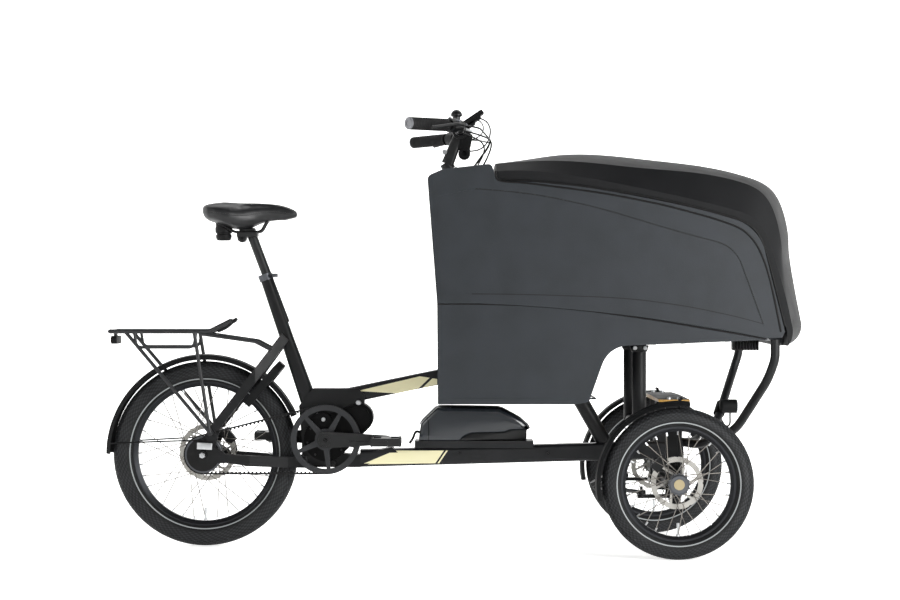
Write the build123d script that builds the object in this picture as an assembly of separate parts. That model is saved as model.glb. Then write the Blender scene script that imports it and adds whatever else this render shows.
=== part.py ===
"""Electric cargo tricycle: two steered front wheels under a lidded cargo box, one driven rear wheel.

Millimetres. +X is forward, +Y is the rider's left, +Z is up. The origin is on the ground,
at mid-length on the centre plane. Every piece is written to parts/NAME.step.
"""

import os
from math import asin, atan2, cos, hypot, pi, radians, sin, tan

from build123d import *

# ---- driving dimensions ---------------------------------------------------------------
rear_axle_x = -689
front_axle_x = 598
front_track = 660
running_fit = 0.05
clearance = 0.3

rear_tyre_radius = 258
rear_tyre_width = 56
rear_rim_radius = 207
rear_rim_depth = 19
rear_spoke_count = 36
front_tyre_radius = 201
front_tyre_width = 50
front_rim_radius = 156
front_rim_depth = 17
front_spoke_count = 28
rim_width = 32
rim_bed_depth = 7
rim_wall = 2.4
spoke_thickness = 2
disc_thickness = 2
rear_disc_radius = 80
rear_disc_y = 47
front_disc_radius = 70
front_disc_inset = 25
rear_flange_radius = 47
rear_flange_y = 24
rear_axle_radius = 6
front_flange_radius = 24
front_flange_y = 17
stub_radius = 8.5

crank_x = -350
crank_z = 300
crank_length = 170
crank_tread = 82
crank_arm_thickness = 12
crank_axle_radius = 12
crank_boss_radius = 23
crank_tip_radius = 12.5
pedal_spindle_radius = 7
motor_half_width = 40
belt_line_y = -53
belt_width = 12
belt_thickness = 4
ring_belt_radius = 97
sprocket_belt_radius = 55

main_tube_height = 48
main_tube_width = 60
main_tube_back_x = -255
main_tube_back_z = 245
main_tube_front_x = 646
main_tube_front_z = 270

head_top_x = -5
head_top_z = 1050
head_lean = 29.6
head_tube_radius = 21
head_tube_length = 946
pitman_length = 80
column_radius = 12.5
bar_radius = 12.5
grip_radius = 17
hose_radius = 2.4

box_back_x = -39
box_back_low_z = 412
box_half_width = 355
box_wall = 5
tub_inset = 5
lid_wall = 4
lid_gap = 6
tunnel_half_width = 75
tunnel_wall = 4
panel_depth = 1.6
hinge_x = 884
hinge_z = 576
hinge_y = 250
hinge_pin_radius = 4
mast_x = 512
mast_y = 145
mast_top_z = 565

kingpin_y = 262
kingpin_radius = 8
steer_arm_length = 92
steer_arm_z = 174
steer_arm_thickness = 9
tie_pin_y = 12
tie_eye_height = 10
tie_eye_gap = 1.5
lower_beam_z = 186
leaf_z = 416
leaf_half_length = 42
beam_end_y = 224
front_guard_radius = 220
front_guard_half = 29

seat_tube_top_x = -520
seat_tube_top_z = 748
seatpost_radius = 13.6
stay_y = 68
stay_width = 10
rack_top_z = 600
rack_half_width = 65
rack_tube_radius = 5
guard_radius = 278
guard_half_width = 33
bull_bar_radius = 12
lock_angle = 49.5
lock_half_width = 45


# ---- small helpers --------------------------------------------------------------------
def save(name, piece):
    """Writes one piece, whose solids stay apart, to its own file."""
    solids = piece.solids() if hasattr(piece, "solids") else ShapeList(piece)
    export_step(Compound(children=list(solids)), f"parts/{name}.step")


def rod(start, end, radius, bore=0):
    """A round bar, or a tube when it has a bore, between two points."""
    start, end = Vector(*start), Vector(*end)
    section = Circle(radius)
    if bore:
        section -= Circle(bore)
    return extrude(Plane(start, z_dir=end - start) * section, (end - start).length)


def beam(start, end, width, height, corner):
    """A tube of rounded rectangular section between two points of a plane y = constant."""
    start, end = Vector(*start), Vector(*end)
    plane = Plane(start, x_dir=(0, 1, 0), z_dir=end - start)
    return extrude(plane * RectangleRounded(width, height, corner), (end - start).length)


def tapered_beam(start, end, start_size, end_size, corner):
    """A lofted tube whose section changes from start_size to end_size, both (width, height)."""
    start, end = Vector(*start), Vector(*end)
    first = Plane(start, x_dir=(0, 1, 0), z_dir=end - start)
    last = Plane(end, x_dir=(0, 1, 0), z_dir=end - start)
    sections = [first * RectangleRounded(*start_size, corner), last * RectangleRounded(*end_size, corner)]
    return loft(sections)


def bent_tube(points, radius, bend):
    """A round tube along straight runs joined by arcs, of one bend radius or of one for each bend."""
    path = FilletPolyline(*points, radius=bend)
    return sweep(Plane(path @ 0, z_dir=path % 0) * Circle(radius), path=path)


def side_plane(y):
    """The plane at y whose own x and y run along the model's X and Z."""
    return Plane((0, y, 0), x_dir=(1, 0, 0), z_dir=(0, -1, 0))


def slab(outline, low_y, high_y):
    """A flat outline of the x-z plane, given thickness from low_y to high_y."""
    return extrude(side_plane(high_y) * outline, high_y - low_y)


def turned(points):
    """A solid of revolution about the Y axis from (radius, y) points."""
    return revolve(make_face(Polyline(*points, close=True)), Axis.Y)


def mirrored(piece):
    """The same piece on the other side of the centre plane."""
    return mirror(piece, about=Plane.XZ)


def soften(face, corners):
    """Rounds the corners of a flat face that lie nearest to (x, z), each by its own radius."""
    for x, z, radius in corners:
        face = fillet(face.vertices().sort_by_distance((x, z, 0))[0], radius)
    return face


def hull_of_circles(first, second):
    """The outline of a belt drawn tight round two circles (x, z, radius)."""
    (x1, z1, r1), (x2, z2, r2) = first, second
    reach = hypot(x2 - x1, z2 - z1)
    along = atan2(z2 - z1, x2 - x1)
    swing = pi / 2 + asin((r2 - r1) / reach)
    up, down = along + swing, along - swing
    a = (x1 + r1 * cos(up), z1 + r1 * sin(up))
    b = (x2 + r2 * cos(up), z2 + r2 * sin(up))
    c = (x2 + r2 * cos(along), z2 + r2 * sin(along))
    d = (x2 + r2 * cos(down), z2 + r2 * sin(down))
    e = (x1 + r1 * cos(down), z1 + r1 * sin(down))
    f = (x1 - r1 * cos(along), z1 - r1 * sin(along))
    return make_face([Line(a, b), ThreePointArc(b, c, d), Line(d, e), ThreePointArc(e, f, a)])


# ---- wheels ---------------------------------------------------------------------------
def tyre(radius, width, seat):
    """A tyre: a round casing on a bead that fits between the rim's edges."""
    bead = rim_width / 2 - rim_wall - clearance
    low = seat - rim_bed_depth + clearance
    shoulder = seat + 6
    crown = ThreePointArc((shoulder, -width / 2 + 2), (radius, 0), (shoulder, width / 2 - 2))
    sides = Polyline(
        (shoulder, width / 2 - 2), (seat + 1, bead), (low, bead),
        (low, -bead), (seat + 1, -bead), (shoulder, -width / 2 + 2),
    )
    return revolve(make_face([crown, sides]), Axis.Y)


def rim(seat, depth):
    """A double-walled rim: hooked edges, a bed for the bead and a rounded inner wall."""
    half = rim_width / 2
    inner = seat - depth
    bed = seat - rim_bed_depth
    outer = turned([
        (seat, half), (seat, half - rim_wall), (bed, half - rim_wall), (bed, rim_wall - half),
        (seat, rim_wall - half), (seat, -half), (seat - 9, -half + 1), (inner, -7),
        (inner, 7), (seat - 9, half - 1),
    ])
    hollow = turned([(bed - 2, half - 5), (bed - 2, 5 - half), (inner + 2, -5), (inner + 2, 5)])
    return outer - hollow


def spokes(count, flange_radius, flange_y, rim_radius):
    """Crossed spokes from two hub flanges to the rim, alternate ones on each flange."""
    bars = []
    for number in range(count):
        side = 1 if number % 2 else -1
        lean = 1 if number % 4 < 2 else -1
        at_rim = 2 * pi * number / count
        at_hub = at_rim + lean * radians(52)
        start = Vector(flange_radius * cos(at_hub), side * flange_y, flange_radius * sin(at_hub))
        end = Vector(rim_radius * cos(at_rim), side * 2, rim_radius * sin(at_rim))
        section = Plane(start, z_dir=end - start) * Rectangle(spoke_thickness, spoke_thickness)
        bars.append(extrude(section, (end - start).length))
    return bars


def brake_disc(radius, bore, thickness):
    """A vented brake disc: a friction ring carried by six swept arms, with a waved edge."""
    ring = Circle(radius) - Circle(radius - 14)
    ring -= PolarLocations(radius + 3, 12) * Circle(5)
    hub_ring = Circle(bore + 9) - Circle(bore)
    arm = Pos(radius / 2 + 3, 4) * Rot(0, 0, 28) * Rectangle(radius - bore - 8, 6)
    face = ring + hub_ring
    for number in range(6):
        face += Rot(0, 0, 60 * number) * arm
    face -= Circle(bore)
    return extrude(Plane.XZ * face, thickness / 2, both=True)


def hub(flange_radius, flange_y, barrel_radius, end_y, end_radius, bore):
    """A spool-shaped hub shell with two spoke flanges, bored for its axle."""
    return turned([
        (bore, end_y[1]), (end_radius, end_y[1]), (end_radius, flange_y + 6), (barrel_radius, flange_y + 5),
        (barrel_radius, flange_y + 1.5), (flange_radius, flange_y + 1.5), (flange_radius, flange_y - 1.5),
        (barrel_radius, flange_y - 3), (barrel_radius - 2, 0), (barrel_radius, 3 - flange_y),
        (flange_radius, 1.5 - flange_y), (flange_radius, -flange_y - 1.5), (barrel_radius, -flange_y - 1.5),
        (barrel_radius, -flange_y - 5), (end_radius, -flange_y - 6), (end_radius, end_y[0]), (bore, end_y[0]),
    ])


def at(location, pieces):
    """Moves a piece, or a list of pieces, from the origin to its place."""
    place = Pos(*location)
    if isinstance(pieces, list):
        return ShapeList([place * piece for piece in pieces])
    return place * pieces


# Rear wheel: geared hub between the dropouts, belt sprocket on the right, disc on the left.
rear_centre = (rear_axle_x, 0, rear_tyre_radius)
rear_spoke_end = rear_rim_radius - rear_rim_depth - 0.8


def rear_wheel():
    save("rear_tyre", at(rear_centre, tyre(rear_tyre_radius, rear_tyre_width, rear_rim_radius)))
    bars = spokes(rear_spoke_count, rear_flange_radius + 1.3, rear_flange_y, rear_spoke_end)
    save("rear_spoked_rim", at(rear_centre, [rim(rear_rim_radius, rear_rim_depth), *bars]))
    shell = hub(rear_flange_radius, rear_flange_y, 40, (-40, 46), 24, rear_axle_radius + running_fit)
    save("rear_hub", at(rear_centre, shell))
    disc = Pos(0, rear_disc_y, 0) * brake_disc(rear_disc_radius, 16, disc_thickness)
    save("rear_brake_disc", at(rear_centre, disc))
    outer = sprocket_belt_radius - belt_thickness - clearance
    inner_y, outer_y = belt_line_y + belt_width / 2, belt_line_y - belt_width / 2
    sprocket = turned([
        (rear_axle_radius + running_fit, -40), (22, -40), (22, inner_y), (outer, inner_y), (outer, outer_y),
        (outer - 8, outer_y), (outer - 14, inner_y - 5), (22, inner_y - 5), (22, outer_y),
        (rear_axle_radius + running_fit, outer_y),
    ])
    holes = Sketch() + PolarLocations(31, 8) * Circle(5)
    sprocket -= Pos(0, belt_line_y, 0) * extrude(Plane.XZ * holes, 20, both=True)
    save("rear_sprocket", at(rear_centre, sprocket))


# Front wheels: each on a stub axle held from its inner side, with the disc inboard.


def front_wheel(side):
    label = "left" if side > 0 else "right"
    centre = (front_axle_x, side * front_track / 2, front_tyre_radius)

    def place(name, piece):
        pieces = piece if isinstance(piece, list) else [piece]
        if side < 0:
            pieces = [mirrored(one) for one in pieces]
        save(f"front_{name}_{label}", at(centre, list(pieces)))

    place("tyre", tyre(front_tyre_radius, front_tyre_width, front_rim_radius))
    reach = front_rim_radius - front_rim_depth - 0.8
    bars = spokes(front_spoke_count, front_flange_radius + 1.3, front_flange_y, reach)
    place("spoked_rim", [rim(front_rim_radius, front_rim_depth), *bars])
    shell = hub(front_flange_radius, front_flange_y, 17, (-24, 30), 16, stub_radius + running_fit)
    place("hub", shell)
    place("brake_disc", Pos(0, -front_disc_inset, 0) * brake_disc(front_disc_radius, 15, disc_thickness))


# ---- frame ----------------------------------------------------------------------------
main_slope = atan2(main_tube_front_z - main_tube_back_z, main_tube_front_x - main_tube_back_x)
axle_line = main_tube_back_z + (front_axle_x - main_tube_back_x) * tan(main_slope)
head_way = Vector(sin(radians(head_lean)), 0, -cos(radians(head_lean)))
head_top = Vector(head_top_x, 0, head_top_z)
head_foot = head_top + head_way * head_tube_length
column_foot = head_top + head_way * (head_tube_length + 28)
head_across = Vector(-cos(radians(head_lean)), 0, -sin(radians(head_lean)))
pitman_centre = head_top + head_way * (head_tube_length + 14)


def main_bar():
    """The main tube before anything is cut from it."""
    back = (main_tube_back_x, 0, main_tube_back_z)
    front = (main_tube_front_x, 0, main_tube_front_z)
    return beam(back, front, main_tube_width, main_tube_height, 10)


def main_tube():
    """The main tube with the shallow tray that the battery locks into welded along its top."""
    tray = Pos(62, 0, 285) * Box(330, 84, 20)
    return main_bar() + (tray - main_bar()) - rod(head_top, column_foot, head_tube_radius)


def head_tube():
    """The long inclined steering tube, with a bearing seat at each end."""
    outer = Plane(head_top, z_dir=head_way) * Circle(head_tube_radius)
    tube = extrude(outer, head_tube_length)
    seat = Plane(head_top, z_dir=head_way) * Circle(column_radius + running_fit)
    tube -= extrude(seat, head_tube_length)
    hollow = Plane(head_top + head_way * 30, z_dir=head_way) * Circle(head_tube_radius - 3)
    return tube - extrude(hollow, head_tube_length - 60)


motor_boss = (crank_x, crank_z, 62)
motor_lobe = (crank_x + 90, crank_z + 59, 41)
motor_bolts = ((-260, 401), (-357, 355), (-330, 238))
seat_tube_foot = (-401, 0, 406)
upper_tube_back = (-378, 0, 401.5)
upper_tube_front = (292, 0, 539)


def motor_outline(gap):
    """The motor's side outline, grown by a gap."""
    boss_x, boss_z, boss_radius = motor_boss
    lobe_x, lobe_z, lobe_radius = motor_lobe
    return hull_of_circles((boss_x, boss_z, boss_radius + gap), (lobe_x, lobe_z, lobe_radius + gap))


def motor_cover(gap):
    """The raised gear cover behind the belt ring, which reaches up to the rear bolt, grown by a gap."""
    bolt_x, bolt_z = motor_bolts[1]
    return hull_of_circles((crank_x, crank_z, 36 + gap), (bolt_x - 4, bolt_z - 6, 26 + gap))


def motor():
    """The mid motor: a cast housing bored for the crank axle, with a raised gear cover each side."""
    body = slab(motor_outline(0), 6 - motor_half_width, motor_half_width - 6)
    body += slab(motor_outline(-9), -motor_half_width, motor_half_width)
    body += slab(motor_cover(0), -motor_half_width - 3, motor_half_width)
    return body - rod((crank_x, -60, crank_z), (crank_x, 60, crank_z), crank_axle_radius + running_fit)


def upper_bar():
    return beam(upper_tube_back, upper_tube_front, 44, 42, 9)


def seat_bar():
    foot, top = Vector(*seat_tube_foot), Vector(seat_tube_top_x, 0, seat_tube_top_z)
    waist = foot + (top - foot) * 0.45
    return tapered_beam(foot, waist, (46, 45), (36, 38), 14) + tapered_beam(waist, top, (36, 38), (33, 33), 14)


def motor_bracket():
    """The welded cradle that holds the motor: a web down the seat tube, an ear in front and a low gusset."""
    ear_x, ear_z = motor_bolts[0]
    outline = make_face(Polyline(
        (-426, 392), (-388, 440), (ear_x, 440), (ear_x + 16, ear_z + 22), (ear_x + 16, ear_z - 16),
        (ear_x - 20, ear_z - 30), (-340, 330), (-340, 262), (-262, 255), (-167, 277), (-150, 262),
        (main_tube_back_x, 221), (-404, 221), (-418, 244), (-418, 300), close=True,
    ))
    corners = [(-418, 244, 10), (-404, 221, 6), (ear_x + 16, ear_z - 16, 14), (-262, 255, 30)]
    body = slab(soften(outline, corners), -30, 30)
    body -= slab(motor_outline(clearance), -40, 40) + slab(motor_cover(clearance), -50, 50)
    return body - main_bar() - upper_bar() - seat_bar()


def upper_tube():
    return upper_bar() - rod(head_top, head_foot, head_tube_radius) - seat_bar()


def seat_tube():
    """The tapered seat tube, bored for the seat post, with the motor cradle welded on its foot."""
    foot, top = Vector(*seat_tube_foot), Vector(seat_tube_top_x, 0, seat_tube_top_z)
    return seat_bar() - rod(foot + (top - foot) * 0.3, top + (top - foot) * 0.1, seatpost_radius + running_fit)


def oblong_bar(start, end, width, height, corner):
    """A bar of rounded rectangular section whose width lies along Y, between any two points."""
    start, end = Vector(*start), Vector(*end)
    way = (end - start).normalized()
    across = (Vector(0, 1, 0) - way * way.Y).normalized()
    plane = Plane(start, x_dir=across, z_dir=way)
    return extrude(plane * RectangleRounded(width, height, corner), (end - start).length)


def flat_stay(plan, width, outline):
    """A stay of even width that follows the plan line from above and the outline from the side."""
    ribbon = make_face(offset(Polyline(*plan), width / 2))
    return extrude(ribbon, 800) & slab(outline, -120, 120)


def chain_stays():
    """Two stays from the motor cradle, close beside the tyre, out to the dropout plates."""
    stays = []
    outline = make_face(Polyline(
        (-402, 220), (-402, 252), (-470, 251), (-560, 256), (-640, 262), (-652, 249), (-640, 238),
        (-560, 227), (-470, 221), close=True,
    ))
    outline = soften(outline, [(-640, 262, 9), (-652, 249, 8), (-640, 238, 9), (-560, 227, 120), (-560, 256, 120)])
    for side in (1, -1):
        plan = [(-406, side * 36), (-456, side * 38), (-560, side * stay_y), (rear_axle_x + 36, side * stay_y)]
        stay = flat_stay(plan, stay_width, outline)
        plate = make_face(Polyline(
            (rear_axle_x + 60, 264), (rear_axle_x + 60, 235), (rear_axle_x - 12, 236), (rear_axle_x - 18, 262),
            (rear_axle_x - 6, 300), (rear_axle_x + 22, 330), (rear_axle_x + 44, 316), (rear_axle_x + 34, 280),
            close=True,
        ))
        plate = soften(plate, [(rear_axle_x - 12, 236, 10), (rear_axle_x - 18, 262, 14)])
        low, high = sorted((side * (stay_y - 3), side * (stay_y + 3)))
        stay += slab(plate, low, high)
        stays.append(stay - rear_axle_bar())
    return stays


def rear_axle_bar():
    return rod((rear_axle_x, -82, rear_tyre_radius), (rear_axle_x, 82, rear_tyre_radius), rear_axle_radius)


def rear_caliper():
    """The brake caliper that straddles the rear disc, on a lug of the left chain stay."""
    reach = rear_disc_radius - 6
    body = Pos(rear_axle_x + reach * cos(radians(38)), rear_disc_y - 1, rear_tyre_radius + reach * sin(radians(38)))
    body *= Rot(0, -38, 0) * Box(28, 26, 44)
    body -= Pos(rear_axle_x, rear_disc_y, rear_tyre_radius) * Rot(90, 0, 0) * (
        Cylinder(rear_disc_radius + 4, disc_thickness + 3))
    lug = rod((-618, rear_disc_y + 7, 290), (-612, stay_y, 262), 6)
    lug -= Pos(rear_axle_x, rear_disc_y, rear_tyre_radius) * Rot(90, 0, 0) * (
        Cylinder(rear_disc_radius + 4, disc_thickness + 3))
    whole = body + lug
    for stay in chain_stays():
        whole -= stay
    return whole


def rear_axle():
    """The fixed axle with its dome nuts, and the shift unit that hangs on it beside the sprocket."""
    axle = rear_axle_bar()
    for side in (1, -1):
        nut = rod((rear_axle_x, side * (stay_y + 3), rear_tyre_radius), (rear_axle_x, side * 84, rear_tyre_radius), 10)
        axle += nut
    low = belt_line_y - belt_width / 2
    unit = rod((rear_axle_x, low - 1, rear_tyre_radius), (rear_axle_x, 5.3 - stay_y, rear_tyre_radius), 46)
    unit -= rod((rear_axle_x, low, rear_tyre_radius), (rear_axle_x, low - 3, rear_tyre_radius), 38)
    return axle + unit


def seat_stays():
    """Two flat stays from the seat tube down to the dropout plates."""
    stays = []
    outline = make_face(Polyline(
        (-455, 575), (-474, 594), (-560, 478), (-668, 338), (-662, 324), (-646, 326), (-540, 462), close=True,
    ))
    outline = soften(outline, [(-668, 338, 8), (-662, 324, 8), (-560, 478, 60), (-540, 462, 60)])
    for side in (1, -1):
        plan = [(-452, side * 17), (-478, side * 30), (-546, side * stay_y), (rear_axle_x + 14, side * stay_y)]
        stay = flat_stay(plan, 12, outline) - seat_bar()
        for chain_stay in chain_stays():
            stay -= chain_stay
        stays.append(stay)
    return stays


def ring_lock():
    """The horseshoe lock round the rear tyre, hung from the seat stays by a lug on each side."""
    half = lock_half_width
    inner, outer, low = 302, 330, 182
    bow = make_face(Polyline(
        (low, half), (inner, half), (inner, -half), (low, -half), (low, 8 - half - 20), (outer - 20, -half - 12),
        (outer, 20 - half), (outer, half - 20), (outer - 20, half + 12), (low, half + 12), close=True,
    ))
    lock = extrude(bow, 11, both=True)
    lock = Plane(rear_centre, x_dir=(cos(radians(lock_angle)), 0, sin(radians(lock_angle))),
                 z_dir=(-sin(radians(lock_angle)), 0, cos(radians(lock_angle)))) * lock
    for side in (1, -1):
        lock += rod((-512, side * 50, 462), (-536, side * 58, 484), 5)
    for stay in seat_stays():
        lock -= stay
    return lock


def cross_slab(outline, low_x, high_x):
    """A flat outline of the y-z plane, given thickness from low_x to high_x."""
    return extrude(Plane((low_x, 0, 0), x_dir=(0, 1, 0), z_dir=(1, 0, 0)) * outline, high_x - low_x)


def front_tower():
    """The welded post that stands on the main tube and the hanger below it: they carry both beams."""
    post = slab(make_face(Polyline(
        (front_axle_x - 34, axle_line), (front_axle_x - 26, leaf_z), (front_axle_x + 26, leaf_z),
        (front_axle_x + 34, axle_line), close=True,
    )), -24, 24)
    hanger = slab(make_face(Polyline(
        (front_axle_x - 38, axle_line), (front_axle_x - 30, 158), (front_axle_x + 30, 158),
        (front_axle_x + 38, axle_line), close=True,
    )), -24, 24)
    whole = post + hanger - leaf_spring()
    beam_slot = Pos(front_axle_x, 0, lower_beam_z) * Box(42, 120, 44)
    whole -= beam_slot
    whole -= main_bar()
    return whole + rod((front_axle_x - 44, 0, lower_beam_z), (front_axle_x + 44, 0, lower_beam_z), 7)


def lower_beam():
    """The lower cross beam, tapering from its centre pivot to a pin in each upright."""
    half = [(0, 17), (beam_end_y - 12, 12), (beam_end_y - 12, -12), (0, -17)]
    points = half + [(12 - beam_end_y, -12), (12 - beam_end_y, 12)]
    outline = Pos(0, lower_beam_z) * make_face(Polyline(*points, close=True))
    bar = cross_slab(outline, front_axle_x - 17, front_axle_x + 17)
    return bar - rod((front_axle_x - 60, 0, lower_beam_z), (front_axle_x + 60, 0, lower_beam_z), 7.2)


def leaf_spring():
    """The flat composite leaf that joins the tops of the uprights, thickest at the tower."""
    end = beam_end_y + 12
    leaf = make_face([
        Line((-end, leaf_z - 3), (-end, leaf_z + 3)),
        Spline((-end, leaf_z + 3), (0, leaf_z + 5), (end, leaf_z + 3)),
        Line((end, leaf_z + 3), (end, leaf_z - 3)),
        Spline((end, leaf_z - 3), (0, leaf_z - 5), (-end, leaf_z - 3)),
    ])
    return cross_slab(leaf, front_axle_x - leaf_half_length, front_axle_x + leaf_half_length)


def uprights():
    """A post on each side, pinned to the leaf above and the beam below, with two kingpin lugs."""
    posts = []
    for side in (1, -1):
        low, high = sorted((side * (beam_end_y - 12), side * (beam_end_y + 4)))
        post = Pos(front_axle_x, (low + high) / 2, (leaf_z + 158) / 2) * Box(44, 16, leaf_z - 158)
        for z in (150, 254):
            reach = Pos(front_axle_x, side * (beam_end_y + kingpin_y) / 2, z) * Box(26, kingpin_y - beam_end_y, 14)
            boss = Pos(front_axle_x, side * kingpin_y, z) * Cylinder(15, 14)
            post += reach + boss
        post -= Pos(front_axle_x, side * kingpin_y, 200) * Cylinder(kingpin_radius, 160)
        post -= leaf_spring()
        posts.append(post)
    return posts


def box_mounts():
    """Two upright tubes on a cross tube ahead of the steering tube, with plates under the box floor."""
    cross_z = 346
    cross = rod((mast_x, -mast_y - 24, cross_z), (mast_x, mast_y + 24, cross_z), 15)
    for side in (1, -1):
        post = rod((mast_x, side * mast_y, cross_z), (mast_x, side * mast_y, mast_top_z), 19)
        plate = Pos(mast_x + 8, side * mast_y, mast_top_z + 6) * Box(70, 56, 12)
        cross += post + plate
    stand = slab(make_face(Polyline(
        (mast_x - 24, 288), (mast_x - 14, cross_z), (mast_x + 14, cross_z), (mast_x + 24, 288), close=True,
    )), -20, 20)
    cross += stand
    return cross - main_bar() - tub_solid()


def bull_bar():
    """The bent bar that rises from the nose of the main tube to the front of the box floor."""
    half = [
        (main_tube_front_x - 6, 0, main_tube_front_z + 20), (main_tube_front_x + 40, 60, 286),
        (767, 196, 333), (834, 344, 478), (852, 350, 532), (852, 348, 582),
    ]
    left = bent_tube(half, bull_bar_radius, [150, 200, 90, 90])
    return left + mirrored(left) - main_bar()


def battery():
    """The battery pack that locks onto the main tube's tray: sloping ends, and a low part drawn in."""
    low = 295.3
    outline = make_face(Polyline(
        (-93, low), (-86, 345), (-41, 389.5), (134, 387), (190, 356), (212, 337), (217, 328), (209, 323), (209, low),
        close=True,
    ))
    outline = soften(outline, [(-86, 345, 16), (-41, 389.5, 16), (134, 387, 30)])
    below = make_face(Polyline(
        (17, low - 5), (31, 306), (56, 317), (148, 319), (162, 325.6), (240, 325.6), (240, low - 5), close=True,
    ))
    pack = slab(outline, -50, 50)
    groove = make_face(Polyline((-67, low - 5), (-65, low - 5), (-65, 400), (-67, 400), close=True))
    for side in (1, -1):
        pack -= slab(below, *sorted((side * 44, side * 60)))
        pack -= slab(groove, *sorted((side * 49, side * 60)))
    return pack


# ---- luggage rack and rear mudguard ------------------------------------------------------


def rear_rack():
    """The tubular rack: two top rails, lower bag rails, cross bars and three legs a side."""
    rack = None
    for side in (1, -1):
        y = side * rack_half_width
        rail = bent_tube([(-948, y, rack_top_z), (-672, y, rack_top_z), (-612, y, 630)], 6, 30)
        low = bent_tube([(-880, y, rack_top_z), (-873, y, 556), (-715, y, 556), (-708, y, rack_top_z)], 4, 16)
        leg_back = rod((-905, y, rack_top_z), (rear_axle_x + 20, side * 77, 320), 5)
        leg_front = rod((-714, y, rack_top_z), (rear_axle_x + 20, side * 77, 320), 5)
        part = rail + low + leg_back + leg_front
        part += Pos(rear_axle_x + 20, side * 75.3, 320) * Rot(90, 0, 0) * Cylinder(9, 8)
        arm = bent_tube([(-700, y, rack_top_z - 6), (-546, side * 55, 572), (-500, side * 55, 548)], 5, 20)
        part += arm
        rack = part if rack is None else rack + part
    for x in (-948, -860, -780, -700, -612):
        z = 630 if x > -620 else rack_top_z
        rack += rod((x, -rack_half_width, z), (x, rack_half_width, z), 5)
    for stay in seat_stays():
        rack -= stay
    return rack


def rear_mudguard():
    """The curved guard over the rear tyre, open below, held by its own stays."""
    start, end = 23, 180
    section = make_face(Polyline(
        (guard_radius - 14, guard_half_width), (guard_radius - 3, guard_half_width - 9),
        (guard_radius, 0), (guard_radius - 3, 9 - guard_half_width), (guard_radius - 14, -guard_half_width),
        (guard_radius - 15.5, 1.5 - guard_half_width), (guard_radius - 5, 10 - guard_half_width),
        (guard_radius - 2, 0), (guard_radius - 5, guard_half_width - 10), (guard_radius - 15.5, guard_half_width - 1.5),
        close=True,
    ))
    guard = revolve(section, Axis.Y, revolution_arc=end - start)
    guard = Pos(*rear_centre) * Rot(0, -end, 0) * guard
    for side in (1, -1):
        eye = (rear_axle_x + 4, side * (stay_y + 8), rear_tyre_radius + 42)
        guard += rod((rear_axle_x - 262, side * 32.5, rear_tyre_radius + 30), eye, 2)
        guard += rod((eye[0], eye[1] + side * 2, eye[2]), (eye[0], side * (stay_y + 3.3), eye[2]), 5)
    return guard


def tail_lamp():
    """The flat rear lamp, hung on a plate from the rack's last cross bar."""
    lamp = Pos(-940, 0, 576) * Box(16, 84, 22)
    lamp = fillet(lamp.edges().filter_by(Axis.X), 8)
    return lamp + Pos(-941, 0, 592) * Box(4, 40, 16)


def headlight():
    """The lamp on a bracket clamped to the left branch of the front bar."""
    lamp = Pos(802, 212, 379) * Rot(0, 90, 0) * Cylinder(20, 50)
    lamp = fillet(lamp.edges().sort_by(Axis.X)[0], 9)
    clamp = rod((776, 221, 356), (789, 249, 384), bull_bar_radius + 4)
    return lamp + clamp - bull_bar()


# ---- drive ----------------------------------------------------------------------------
def crankset():
    """The crank axle and the right and left arms, which taper to the pedals, each with a pocket outside."""
    axle = rod((crank_x, -crank_tread, crank_z), (crank_x, crank_tread, crank_z), crank_axle_radius)
    outline = hull_of_circles((0, 0, crank_boss_radius), (crank_length, 0, crank_tip_radius))
    pocket = SlotCenterToCenter(56, 8)
    whole = axle
    for side in (1, -1):
        turn = Rot(0, 0, 90 + 90 * side)
        low, high = sorted((side * (crank_tread - crank_arm_thickness), side * crank_tread))
        whole += slab(Pos(crank_x, crank_z) * turn * outline, low, high)
        low, high = sorted((side * (crank_tread - 2), side * (crank_tread + 5)))
        whole -= slab(Pos(crank_x, crank_z) * turn * Pos(95, 0) * pocket, low, high)
        whole -= slab(Pos(crank_x, crank_z) * (Circle(18) - Circle(14)), low, high)
        whole -= slab(Pos(crank_x, crank_z) * Circle(7), low, high)
        x = crank_x - side * crank_length
        whole -= rod((x, side * 60, crank_z), (x, side * 100, crank_z), pedal_spindle_radius + running_fit)
    return whole


def belt_ring():
    """The belt ring on five forked arms, with an outer guard ring."""
    inner = ring_belt_radius - belt_thickness - clearance
    near, far = belt_line_y + belt_width / 2, belt_line_y - belt_width / 2
    guard = inner + 3.6
    ring = turned([
        (inner - 11, near), (inner, near), (inner, far - 0.5), (guard, far - 2), (guard, far - 5),
        (inner - 12, far - 5),
    ])
    bore = crank_axle_radius + 0.02
    boss = turned([(bore, near), (30, near), (30, far - 4), (bore, far - 4)])
    arm = make_face(Polyline((20, -9), (inner - 7, -5), (inner - 7, 5), (20, 9), close=True))
    whole = ring + boss
    for number in range(5):
        whole += slab(Rot(0, 0, 72 * number + 60) * arm, far - 4, far + 3)
    return Pos(crank_x, 0, crank_z) * (whole - rod((0, -100, 0), (0, 100, 0), bore))


def drive_belt():
    ring = (crank_x, crank_z)
    sprocket = (rear_axle_x, rear_tyre_radius)
    outer = hull_of_circles((*sprocket, sprocket_belt_radius), (*ring, ring_belt_radius))
    inner = hull_of_circles((*sprocket, sprocket_belt_radius - belt_thickness),
                            (*ring, ring_belt_radius - belt_thickness))
    return slab(outer - inner, belt_line_y - belt_width / 2, belt_line_y + belt_width / 2)


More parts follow.
